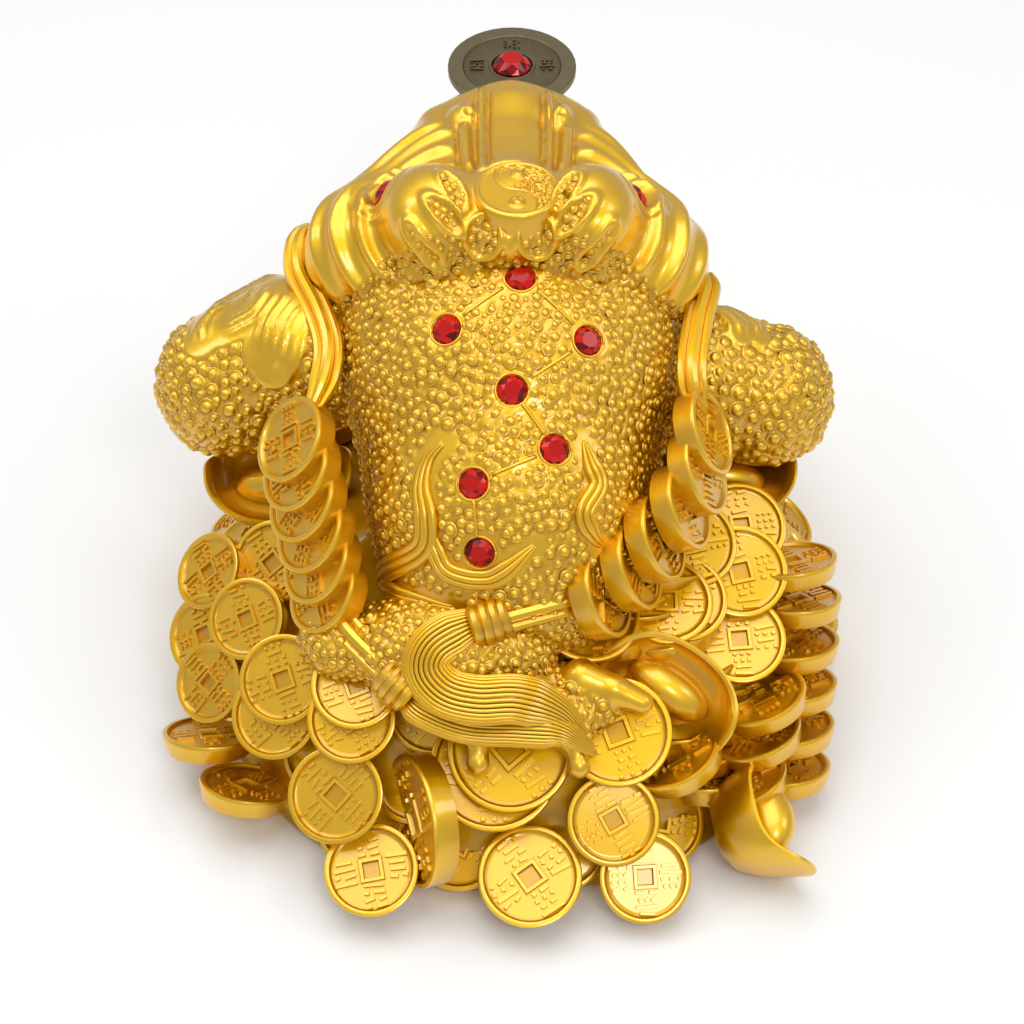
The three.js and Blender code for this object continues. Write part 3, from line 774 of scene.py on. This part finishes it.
# Smooth bands on the elbows
left_elbow_bands = [
    [(-79, 41, 88.5), (-74, 45.5, 91), (-67, 48.5, 95), (-60, 50, 98)],
    [(-80.3, 31.9, 92.1), (-80, 37.1, 92.6), (-77.4, 41, 93.3), (-73.1, 42.4, 95.2)],
    [(-75, 33, 94.7), (-70.1, 33.7, 96.9), (-65.9, 35, 99.1), (-63.4, 38.7, 100.7), (-62.1, 42.1, 100.7)],
    [(-64, 25.3, 94.1), (-62.7, 28.6, 97.4), (-61.2, 32, 99.8), (-58.7, 35.7, 101.3), (-57.2, 40, 101.6)],
    [(-60.9, 22.3, 91.3), (-58.7, 24, 94.7), (-57.6, 27.2, 98), (-55.7, 31.4, 100.4), (-52.8, 35, 101.3)]]
right_elbow_bands = [
    [(51, 42, 93), (55.5, 39, 94), (58.5, 35, 94.5), (59.4, 30.4, 94.3)],
    [(54, 44, 90), (60, 41, 91), (63.5, 37, 92), (64.6, 32, 91.8)]]

toad_piece("toad_head", head, (-56, 12, 80), (56, 104, 144), 0.62,
           head_relief, seed=31, bead_gap=1.95, bead_radius=0.95)
toad_piece("toad_back", back, (-50, -46, 42), (50, 66, 128), 0.92, back_relief, seed=21)
toad_piece("toad_foreleg_left", left_foreleg, (-98, 10, 48), (-26, 62, 108), 0.85,
           limb_relief(left_elbow_bands, 10.5), seed=41, bead_gap=2.85, bead_radius=1.55, bead_sides=12)
toad_piece("toad_foreleg_right", right_foreleg, (26, 8, 48), (90, 58, 106), 0.85,
           limb_relief(right_elbow_bands, 6.0), seed=43, bead_gap=3.0, bead_radius=1.65, bead_sides=12)
toad_piece("toad_forearms", forearms, (-90.3, 17.6, 27.7), (90, 96, 84), 1.0, hand_relief, seed=51)
toad_piece("toad_hind_leg", hind_leg, (-62, -72, 28), (44, -18, 70), 0.75, hind_relief, seed=61)
back_ornament()


# Coins

coin_rng = seeded(7)
coin_sides = 40
heap_coin_diameter = 25.5
heap_coin_thickness = 5.2
face_depth = 0.95
stroke_height = 0.7
cosines, sines = circle(coin_sides, np.pi / 4)


def round_ring(radius, height):
    return corners_at(radius * cosines, radius * sines, height)


def square_ring(half, height):
    reach = half / np.maximum(np.abs(cosines), np.abs(sines))
    return corners_at(reach * cosines, reach * sines, height)


def stroke(patches, move, start, end, width, floor):
    """A raised bar on a coin's face, with sloping sides."""
    along = unit(end - start)
    across = np.array([-along[1], along[0]])
    corners = []
    for inset, level in ((0.0, floor - 0.1), (0.16, floor + stroke_height)):
        a, b = start + along * inset, end - along * inset
        side = across * (width / 2 - inset * 0.6)
        corners += [[*spot, level] for spot in (a - side, b - side, b + side, a + side)]
    faces = [(4, 5, 6, 7), (0, 1, 5, 4), (1, 2, 6, 5), (2, 3, 7, 6), (3, 0, 4, 7), (3, 2, 1, 0)]
    # Painted shade at the foot of the bar, none on its top.
    patches.add(move(corners), faces, [0.45] * 4 + [0.0] * 4)


def face_signs(patches, move, reach, floor, size, turning=0):
    """Four shallow made-up marks round a coin's face: short rows of bars and dots that aren't letters."""
    for angle in np.arange(4) * np.pi / 2:
        middle = reach * np.array([math.cos(angle), math.sin(angle)])
        cosine, sine = math.cos(turning * angle), math.sin(turning * angle)
        axes = size * np.array([[cosine, sine], [-sine, cosine]])
        for v in np.linspace(2.35, -2.35, 4):
            reach_out = coin_rng.uniform(1.7, 2.7)
            split = coin_rng.uniform(-0.9, 0.9)
            kinds = [
                [(-reach_out, reach_out)],
                [(-reach_out, split - 0.45), (split + 0.45, reach_out)],
                [(-reach_out, -reach_out + 0.9), (-0.45, 0.45), (reach_out - 0.9, reach_out)]]
            bars = kinds[coin_rng.integers(3)]
            tilt, breadth = coin_rng.uniform(-0.3, 0.3), coin_rng.uniform(0.65, 1.0)
            for start, end in bars:
                start, end = middle + [start, v + tilt] @ axes, middle + [end, v - tilt] @ axes
                stroke(patches, move, start, end, breadth * size, floor)


def cash_coin(patches, diameter, thickness, move, flare=0.9):
    """A cast cash coin: flared side, round rim, sunk face with a framed square hole and its marks."""
    radius, top = diameter / 2, thickness / 2
    floor = top - face_depth
    size = diameter / heap_coin_diameter
    # The reach, height and painted shade of each ring, from the middle of the underside to the hole
    outside = [
        (radius * flare * 0.75, -top, 0.5), (radius * flare, -top, 0.45),
        (radius * (flare + 0.45 * (1 - flare)), -top * 0.35, 0.3),
        (radius - 0.12, top - 1.2, 0.08), (radius, top - 0.65, 0.0), (radius - 0.22, top - 0.18, 0.0),
        (radius - 0.75, top, 0.0), (radius - 1.35, top - 0.1, 0.05), (radius - 1.75, floor + 0.2, 0.6),
        (radius - 2.0, floor, 0.8), (radius - 2.9, floor, 0.28)]
    hole = [
        (4.0, floor, 0.28), (3.3, floor, 0.75), (3.1, floor + 0.6, 0.05), (2.3, floor + 0.6, 0.05),
        (2.1, floor - 0.1, 0.7), (2.0, floor - 0.5, 0.85)]
    rings = [round_ring(reach, height) for reach, height, _ in outside]
    rings += [square_ring(half * size, height) for half, height, _ in hole]
    # Painted shade: darkest beside the rim and in the hole, lightest on the rim.
    loft(patches, [move(ring) for ring in rings], [shade for _, _, shade in outside + hole])
    face_signs(patches, move, (3.3 * size + radius - 2.0) / 2 + 0.1, floor, 1.2 * size)


def lay_coin(patches, place, facing, lean, turn, size, thickness=heap_coin_thickness, flare=0.9):
    """A coin of the heap, with its size as a share of the usual diameter."""
    move = pose(place, facing_way(facing, lean), turn)
    cash_coin(patches, heap_coin_diameter * size, thickness, move, flare)


# The heap: cash coins and ingots over a rough core

# The place, the bearing that the face looks to, its lean, the turn and the size of each coin that shows
shown_coins = [
    (5, -81, 12, 180, 72, 35, 1.04), (26, -70, 22, 176, 52, 30, 0.93), (34, -80, 11, 170, 56, 5, 0.93),
    (-35, -79, 12, 188, 70, 10, 0.95), (-44, -64, 24, 195, 56, 45, 0.98), (-58, -38, 38, 205, 56, 15, 0.93),
    (59.5, -27.5, 41, 178, 70, 5, 0.95), (-40, -50, 37, 190, 60, 30, 0.9), (-78, -32, 29, 225, 44, 35, 0.84),
    (-68, -22, 43, 215, 52, 15, 0.86), (60, -12, 50, 168, 64, 15, 0.98), (0, -56, 32, 180, 62, 40, 1.25),
    (27, -54, 37, 180, 62, 20, 1.1), (-62, -7, 48, 215, 50, 30, 0.9), (61, 2, 52, 160, 66, 10, 0.95),
    (-39, -44, 43, 185, 66, 20, 0.9), (-80, -39.5, 14, 4, 57, 20, 0.97), (-69.5, -53, 10, 18, 57, 50, 0.98),
    (65.5, -39, 30, 313, 63, 20, 0.97), (64.5, -44.5, 22, 313, 63, 60, 0.97),
    (61, -53.5, 14, 313, 63, 30, 0.95), (-60.2, -43.4, 30.3, 205, 56, 40, 0.93),
    (-80, -20, 34, 228, 48, 10, 0.88), (43, -56, 28, 299, 60, 15, 0.97), (75, -5, 44.5, 345, 62, 20, 0.95),
    (75.5, -21, 30, 350, 64, 50, 0.95), (74, -38, 15.5, 345, 62, 0, 0.97),
    (76.5, -12.5, 37.5, 353, 61, 30, 0.92), (75, -29.5, 22.5, 347, 63, 15, 0.95),
    (73, -46, 8.5, 352, 62, 40, 0.95), (-79, -6, 43, 240, 50, 20, 0.84), (20.4, -30.1, 52, 178, 80, 20, 1),
    (40, -24, 52, 170, 74, 0, 0.95), (47, -8, 57, 150, 62, 20, 0.95), (44, -22, 51, 160, 70, 40, 0.95),
    (-4, -58, 27, 184, 66, 0, 1.3)]
# The same for the coin that stands on its edge, with its thickness and flare
standing_coin = (-22, -70, 22, 250, 12, 0, 1.35, 6.5, 0.97)
shown_places = np.array([coin[:3] for coin in shown_coins])
right_flank_places = np.array([(60, -12, 50), (59.5, -27.5, 41), (61, 2, 52)])
# How near to a coin that shows another one may lie, and how far out of the core the laid ones stand
shown_clearance = 14
flank_clearance = 13
tucked = -3.6
proud = 1.2
second_proud = 0.6

# Sections of the core: height, half width, depth behind and depth in front
heap_sections = [(0, 80, 80, 82), (20, 79, 65, 80), (38, 70, 45, 73), (47, 59, 32, 65), (58, 36, 12, 55)]
section_heights, *section_reaches = np.transpose(heap_sections)
heap_roundness = 2.2
casting_foot = 1.8


def core_edge(bearing, height):
    """Where the core's side lies at a bearing and a height."""
    half, rear, front = (np.interp(height, section_heights, reaches) for reaches in section_reaches)
    s, c = math.sin(math.radians(bearing)), math.cos(math.radians(bearing))
    depth = rear if c < 0 else front
    reach = ((abs(s) / half) ** heap_roundness + (abs(c) / depth) ** heap_roundness) ** (-1 / heap_roundness)
    return np.array([s * reach, c * reach, height])


def core_ring(height, count):
    return [core_edge(90 - degrees, height) for degrees in np.linspace(0, 360, count, endpoint=False)]


def nearest_coin(places, place):
    return lengths(places - place).min()


def heap_piece(patches, name, crease=SHARP):
    """A piece of the heap, cut off level at the casting's foot."""
    for corners in patches.corners:
        corners[:, 2] = np.maximum(corners[:, 2], casting_foot)
    patches.gilded(name, crease)


def heap_core():
    patches = Patchwork()
    heights = np.linspace(casting_foot, section_heights[-1], 30)
    rings = np.array([core_ring(height, 160) for height in heights])
    dents = seeded(3).normal(0, 1, rings.shape[:2])
    for _ in range(2):
        dents = (dents + np.roll(dents, 1, 1) + np.roll(dents, -1, 1)) / 3
    rings[1:-1, :, :2] *= 0.98 + 0.012 * dents[1:-1, :, None]
    # Painted shade: the whole core is painted deep in shade.
    loft(patches, rings, 0.75)
    heap_piece(patches, "heap_core", None)


def heap_coins():
    patches = Patchwork()
    for coin in shown_coins + [standing_coin]:
        lay_coin(patches, coin[:3], *coin[3:])
    heap_piece(patches, "heap_coins")


def shelved_coins():
    """The flank of the heap on the toad's right: coins stacked on a slant, so that their edges show."""
    patches = Patchwork()
    rng = seeded(29)
    for column, bearing in enumerate((97, 109, 121, 134)):
        for shelf in range(7):
            height = 7 + 6.6 * shelf + 3.3 * (column % 2)
            size = rng.uniform(0.86, 1.0)
            inward = 12.7 * size - 4.5 + rng.uniform(-1.5, 1.5)
            edge = core_edge(bearing + rng.uniform(-3, 3), height)
            place = edge * (1 - inward / lengths(edge[:2]) * np.array([1, 1, 0]))
            if nearest_coin(right_flank_places, place) < flank_clearance:
                continue
            facing, lean = 350 + rng.uniform(-18, 18), rng.uniform(57, 66)
            lay_coin(patches, place, facing, lean, rng.uniform(0, 90), size)
    heap_piece(patches, "shelved_coins")


def laid_coins():
    """Coins laid in rows over the rest of the heap, and tucked between those that show."""
    patches = Patchwork()
    rng = seeded(19)
    for height, count, lean in ((10, 17, 62), (22, 16, 58), (35, 15, 54), (47, 12, 50)):
        for i in range(count):
            bearing = 360 * (i + 0.5 * (height % 2)) / count
            behind = 98 < bearing < 282
            stand = tucked if behind and bearing < 258 else proud
            place = core_edge(bearing, height) + stand * facing_way(bearing, 20)
            facing = bearing + rng.uniform(-14, 14)
            turn = rng.uniform(0, 90)
            tip = rng.uniform(-6, 6)
            if behind and (bearing < 140 or nearest_coin(shown_places, place) < shown_clearance):
                continue
            lay_coin(patches, place, facing, lean + tip, turn, rng.uniform(0.9, 1.0))
    for height, count, lean, shift in ((16, 17, 58, 0.5), (28.5, 16, 56, 0.5), (41, 14, 52, 0.0)):
        for i in range(count):
            bearing = 360 * (i + shift) / count
            if 80 < bearing < 285:
                continue
            place = core_edge(bearing, height) + second_proud * facing_way(bearing, 20)
            facing, tipped = bearing + rng.uniform(-14, 14), lean + rng.uniform(-6, 6)
            lay_coin(patches, place, facing, tipped, rng.uniform(0, 90), rng.uniform(0.88, 0.98))
    heap_piece(patches, "laid_coins")


# An ingot's hull and rim: the spread of a ring, its height at the sides and at the tips, and its painted
# shade
ingot_sections = [
    (0.45, 0.0, 0.0, 0.5), (0.62, 0.03, 0.10, 0.4), (0.80, 0.20, 0.38, 0.3), (0.93, 0.42, 0.74, 0.15),
    (0.99, 0.56, 0.95, 0.0), (1.0, 0.60, 1.0, 0.0), (0.97, 0.63, 1.02, 0.0), (0.91, 0.62, 0.98, 0.0),
    (0.86, 0.56, 0.86, 0.2), (0.76, 0.50, 0.68, 0.4), (0.62, 0.48, 0.54, 0.5)]
# Each ingot's place, the way its bowl opens, the way its length runs, and its length, width and height
ingots = [
    ((42.5, -34, 34.5), (-0.2, -0.83, 0.52), (0.83, -0.43, -0.36), (38, 28, 18)),
    ((54.5, -65, 8), (0.91, 0.07, 0.41), (0.12, -0.98, -0.1), (34, 27, 22)),
    ((-62, 20, 42), (0, -0.2, 0.98), (1, 0.09, 0), (40, 26, 18)),
    ((57, 22, 42), (0, -0.2, 0.98), (1, -0.09, 0), (40, 26, 18))]


def ingot(patches, length, width, height, move):
    """A boat-shaped ingot: a smooth hull that rises to both tips, a rim, and an egg-shaped dome."""
    cosines, sines = circle(64)
    breadth = np.sign(sines) * np.abs(sines) ** 0.75
    hull = []
    for spread, low, high, _ in ingot_sections:
        rise = height * (low + (high - low) * cosines ** 4)
        hull.append(move(corners_at(length / 2 * spread * cosines, width / 2 * spread * breadth, rise)))
    loft(patches, hull, [section[-1] for section in ingot_sections])
    egg = []
    for tilt in np.linspace(-0.45, 0.5, 16)[:-1] * np.pi:
        reach, level = math.cos(tilt), height * (0.34 * math.sin(tilt) + 0.58)
        egg.append(move(corners_at(0.30 * length * reach * cosines, 0.21 * width * reach * sines, level)))
    # Painted shade, darker towards the foot of the dome.
    loft(patches, egg, np.clip(np.linspace(1.2, -0.6, len(egg)), 0, 0.6))


def ingot_pose(place, out, along):
    up = unit(out)
    sideways = unit(np.cross(up, along))
    turned = np.array([np.cross(sideways, up), sideways, up])
    return lambda corners: corners @ turned + np.array(place)


def heap_ingots():
    patches = Patchwork()
    for place, out, along, size in ingots:
        ingot(patches, *size, ingot_pose(place, out, along))
    heap_piece(patches, "heap_ingots")


# The strings of coins, their cords, knots and tassels

# The way that the coins of a string face, and their places
coin_strings = [
    ((-0.66, -0.25, 0.71), [(-54, 0, 87), (-52.5, -5.5, 82), (-51, -11, 76.5), (-49, -16.5, 71),
                            (-47.5, -22, 65.5), (-46, -27, 60)]),
    ((0.85, -0.14, 0.5), [(49, 3, 87), (47.5, -5, 81), (43, -13, 76.5), (36.5, -19.5, 72),
                          (30.5, -25.5, 68), (22.5, -31.5, 64.5)])]
string_coin_diameter = 23
string_coin_thickness = 6
away_from_tail = np.array([0, -0.67, 0.74])
upper_cords = [
    [(-52, 59, 107), (-54.5, 56, 107), (-55.5, 50, 105), (-54.5, 44, 103), (-49.5, 33, 101), (-46.5, 23, 98),
     (-47.5, 14, 94), (-52, 4, 89)],
    [(50.5, 44, 104), (50.5, 38, 104), (48, 28, 102), (46, 14, 97), (48, 5, 89)]]
lower_cords = [
    [(-46, -28, 60), (-41, -37, 58), (-29, -49, 54.5)],
    [(22.5, -31.5, 64.5), (12, -36, 66.5), (-4, -41, 66)]]
# The route and the width of each tassel
tassels = [
    ([(-28, -51, 53.5), (-24.5, -54, 52.5), (-21, -57, 51.5), (-10.5, -58.5, 47), (2.5, -59.5, 47),
      (13, -60.5, 46.3), (21.5, -63, 40)], 10.0),
    ([(-5, -41, 66), (-11, -43.5, 66), (-18.5, -47.5, 63.8), (-20.5, -52, 60.2), (-16, -56, 56.7),
      (-8, -57.5, 55.3), (2.5, -57, 54.8), (13, -57.5, 49.5), (20, -60.5, 41.2)], 12.0)]


def string_coins():
    patches = Patchwork()
    for normal, places in coin_strings:
        for i, place in enumerate(places):
            move = pose(place, normal, 20 * i)
            cash_coin(patches, string_coin_diameter, string_coin_thickness, move, flare=0.96)
        # Painted shade: the cord through the coins is painted darker.
        tube(patches, smooth_route(places, 24), 2.2, hollow=0.3)
    patches.gilded("string_coins")


def strands(patches, places, width, depth, count, ends, steps, outward=away_from_tail, fullness=0.75):
    """A bundle of round strands side by side over an oval section, which narrows at its ends."""
    route = smooth_route(places, steps)
    across, up = across_and_up(route, outward)
    share = np.linspace(0, 1, steps)
    size = np.minimum(1, np.minimum(ends[0] + 4 * share, ends[1] + 3.2 * (1 - share)))
    for k in range(count):
        angle = math.pi * (k + 0.5) / count
        lane, rise = -math.cos(angle), math.sin(angle)
        shift = size[:, None] * (lane * width / 2 * across + (rise * 0.8 - 0.3) * depth / 2 * up)
        gap = width / count * (0.55 + 0.45 * rise)
        tube(patches, route + shift, gap * fullness * size, 8, outward + 0.01 * across[0], hollow=-0.1)
    # Painted shade: the strands are painted a little lighter, the core between them darker.
    core = route - 0.1 * depth * up * size[:, None]
    tube(patches, core, width * 0.40 * size, 10, outward, depth / width * 0.8, hollow=0.6)


def knot(patches, middle, along, radius=4.6):
    """Cord wound round the head of a tassel."""
    along = unit(along)
    across = unit(np.cross(along, away_from_tail))
    up = np.cross(across, along)
    cosines, sines = circle(29, closed=True)
    for i in range(4):
        shift = (i - 1.5) * radius * 0.52
        swell = radius * math.sqrt(max(1 - (shift / (1.5 * radius)) ** 2, 0.1))
        loop = middle + (shift + 0.2 * radius * sines)[:, None] * along
        loop += swell * (cosines[:, None] * across + sines[:, None] * up)
        tube(patches, loop, radius * 0.34, 8, along + 0.3 * across)
    # The spine under the wound cord is painted darker, as shade.
    share = np.linspace(-1, 1, 9)
    spine = middle + share[:, None] * radius * 1.1 * along
    fullness = 0.95 * np.sqrt(np.clip(1.05 - share ** 2, 0.05, 1))
    tube(patches, spine, radius * fullness, 16, away_from_tail, hollow=0.4)


def cords_and_tassels():
    patches = Patchwork()
    for places in upper_cords:
        strands(patches, places, 6.2, 5.5, 3, (0.6, 0.35), 40, UP, 0.8)
    for places in lower_cords:
        strands(patches, places, 6.4, 5.5, 3, (0.7, 0.7), 20)
    for places, width in tassels:
        strands(patches, places, width, 7.0, 15, (0.45, 0.12), 60, fullness=0.72)
        knot(patches, np.array(places[0]), np.subtract(places[1], places[0]))
    patches.gilded("cords_and_tassels")


# The disc between the brows

def crown_disc():
    """A low drum whose top carries the two-tailed sign, one half of it stippled."""
    patches = Patchwork()
    sides, rows, half = 120, 44, disc_radius / 2
    cosines, sines = circle(sides)
    stipple = seeded(5).uniform(-0.35, 0.35, (rows, sides))
    reach = disc_radius * (1 - np.arange(rows)[:, None] / rows)
    u, v = reach * cosines, reach * sines
    upper, lower = np.hypot(u, v - half), np.hypot(u, v + half)
    stippled = ((u > 0) & (lower > half)) | (upper < half)
    seam = np.minimum(np.where(u < 0, np.abs(upper - half), 9), np.where(u > 0, np.abs(lower - half), 9))
    height = np.where(stippled, stipple - 0.15, 0.0) - 0.5 * hill(seam, 0.35)
    for gap, rise in ((upper, 0.9), (lower, -0.5)):
        height = np.where(gap < 2.2, rise * dome(gap / 1.4) + 0.5 * hill(gap - 1.5, 0.4), height)
    height = height * (reach < disc_radius - 1.2) + 0.35 * hill(reach - disc_radius + 0.7, 0.4)
    # Painted shade: darker in the seams and on the drum's side, lighter on the raised parts.
    shades = np.clip(0.1 + 0.5 * (seam < 0.5) - height * 0.6, 0, 1).mean(axis=1)
    drum = [corners_at((disc_radius + grow) * cosines, (disc_radius + grow) * sines, drop)
            for grow, drop in ((1.4, -9.75), (0.9, -4.75), (0.5, -1.2), (0.2, -0.4))]
    rings = np.concatenate([drum, corners_at(u, v, height)]) + disc_place
    loft(patches, rings, [0.4, 0.25, 0.3, 0.15, *shades])
    patches.gilded("crown_disc", math.radians(60))


# Gems, the loose coin and the pad

RED = red_stone()
facet_rng = seeded(37)
back_gem_diameter = 7.6
eye_gem_diameter = 9.0
coin_gem_diameter = 10.5
mouth_coin_place = np.array([0.5, 106, 124])
mouth_coin_top = 1.1
# The bronze coin's section: the reach, height and painted shade of each ring, from the underside to the
# gem's seat
mouth_coin_section = [
    (15.9, -0.85, 0.3), (16.2, -1.1, 0.1), (17.25, -1.1, 0.0), (17.5, -0.85, 0.0), (17.5, 0.85, 0.0),
    (17.25, 1.1, 0.0), (13.6, 1.1, 0.0), (13.2, 0.75, 0.9), (12.8, 0.75, 0.5), (6.4, 0.75, 0.3),
    (6.2, 1.05, 0.0), (5.7, 1.05, 0.1), (5.6, -0.1, 0.9)]
# The flocked pad's section: how far in from the heap's foot, and the height
pad_section = [(12, 0.0), (4.6, 0.0), (4.1, 0.25), (4.0, 0.75), (4.1, 1.25), (4.7, 1.5), (12, 1.5)]


def cut_stone(name, node, diameter, crown, pavilion, place, out):
    """A round brilliant: a flat table, kite and star facets, a thin girdle and a cone below."""
    radius = diameter / 2 - 0.05

    def ring(count, reach, height, shift=0.0):
        cosines, sines = circle(count, 2 * np.pi * shift / count)
        return corners_at(reach * cosines, reach * sines, height)
    corners = np.concatenate([
        ring(8, radius * 0.56, crown), ring(8, radius * 0.80, crown * 0.58, 0.5), ring(16, radius, 0.12),
        ring(16, radius, -0.12), [[0, 0, -pavilion + 0.05]]])
    faces = [tuple(range(8))]
    for i in range(8):
        j, near, middle, far = (i + 1) % 8, 16 + 2 * i, 17 + 2 * i, 16 + (2 * i + 2) % 16
        faces += [(i, 8 + i, j), (j, 8 + i, far, 8 + j), (8 + i, middle, far), (8 + i, near, middle)]
    for i in range(16):
        j = (i + 1) % 16
        faces += [(16 + i, 32 + i, 32 + j, 16 + j), (32 + i, 48, 32 + j)]
    # Painted light: each facet is painted darker or lighter at random, the table a middling shade.
    painted_facet_shade = np.clip(facet_rng.uniform(-0.25, 1.1, len(faces)), 0, 1)
    painted_facet_shade[0] = 0.35
    move = pose(place, out)
    make_piece(name, move(corners), faces, RED, node, {"painted_facet_shade": painted_facet_shade}, math.radians(2))


def mouth_coin():
    """The loose bronze coin: rim, sunk face with worn marks, and a seat for its gem."""
    patches = Patchwork()
    move = pose(mouth_coin_place, UP)
    rings = [move(round_ring(reach, height)) for reach, height, _ in mouth_coin_section]
    loft(patches, rings, [shade for _, _, shade in mouth_coin_section])
    face_signs(patches, move, 9.6, mouth_coin_top - 0.45, 0.8, turning=1)
    patches.piece("bronze_coin", aged_bronze(), "aged_bronze", "mouth_coin")


def felt_pad():
    """The flocked pad: a thin cut sheet with a soft, slightly uneven edge."""
    patches = Patchwork()
    edge = np.array(core_ring(0.0, 240))
    reach = lengths(edge)
    fray = seeded(23).normal(0, 0.12, len(edge))
    rings = []
    for inset, level in pad_section:
        scale = (reach - inset + (fray if inset < 5 else 0)) / reach
        rings.append(edge * scale[:, None] + level * UP)
    loft(patches, rings, 0.0)
    patches.piece("flocked_pad", felt_flock(), "maroon_flock", "base_felt")


heap_core()
heap_coins()
laid_coins()
shelved_coins()
heap_ingots()
string_coins()
cords_and_tassels()
crown_disc()
for i, (point, out) in enumerate(zip(gem_points, gem_normals), 1):
    cut_stone(f"back_stone_{i}", f"back_gem_{i}", back_gem_diameter, 1.5, 2.0, point - 0.5 * out, out)
eye_points = settle(toad, eye_places)
eye_points -= 0.6 * slope(toad, eye_points, 0.05)
for name, point, out in zip(("left", "right"), eye_points, eye_facings):
    cut_stone(f"eye_stone_{name}", f"eye_gem_{name}", eye_gem_diameter, 1.8, 2.6, point, out)
mouth_coin()
coin_seat = mouth_coin_place + mouth_coin_top * UP
cut_stone("coin_stone", "mouth_coin_gem", coin_gem_diameter, 2.4, 1.1, coin_seat, UP)
felt_pad()


# Floor, light and camera

floor_half = 3.0
lit_place = Vector((0, 0, 0.06))
# Each lamp's name, place, side and power
lamps = [
    ("overhead_light", (-0.05, 0.15, 1.0), 0.9, 4.9),
    ("front_light", (0.25, -0.65, 0.95), 0.28, 1.9),
    ("left_light", (-0.75, 0.1, 0.85), 0.3, 1.0),
    ("right_light", (0.8, -0.1, 0.75), 0.3, 0.95)]
camera_target = Vector((0.0005, 0.005, 0.055))
camera_distance = 0.560
camera_elevation = math.radians(48)


def show_looking(name, data, place, look):
    item = show(name, data)
    item.location = place
    item.rotation_euler = look.to_track_quat("-Z", "Y").to_euler()
    return item


def white_floor():
    mesh = bpy.data.meshes.new("white_floor")
    corners = [(x * floor_half, y * floor_half, 0) for x, y in ((-1, -1), (1, -1), (1, 1), (-1, 1))]
    mesh.from_pydata(corners, [], [(0, 1, 2, 3)])
    finish = Finish("white_floor")
    finish.set(Base_Color=colour(0.93, 0.93, 0.92), Roughness=0.6)
    mesh.materials.append(finish.material)
    floor = show("white_floor", mesh)


def studio():
    world = bpy.data.worlds.new("studio")
    world.use_nodes = True
    sky = world.node_tree.nodes["Background"]
    sky.inputs["Color"].default_value = (0.97, 0.98, 1.0, 1.0)
    sky.inputs["Strength"].default_value = 0.55
    bpy.context.scene.world = world
    for name, place, side, power in lamps:
        light = bpy.data.lights.new(name, "AREA")
        light.size = side
        light.energy = power
        show_looking(name, light, place, lit_place - Vector(place))
    bpy.context.scene.view_settings.view_transform = "Standard"


def camera():
    lens = bpy.data.cameras.new("photo_camera")
    lens.sensor_width = 36.0
    lens.lens = 74.2
    lens.clip_start = 0.01
    look = Vector((0, math.cos(camera_elevation), -math.sin(camera_elevation)))
    place = camera_target - camera_distance * look
    bpy.context.scene.camera = show_looking("photo_camera", lens, place, look)


white_floor()
studio()
camera()
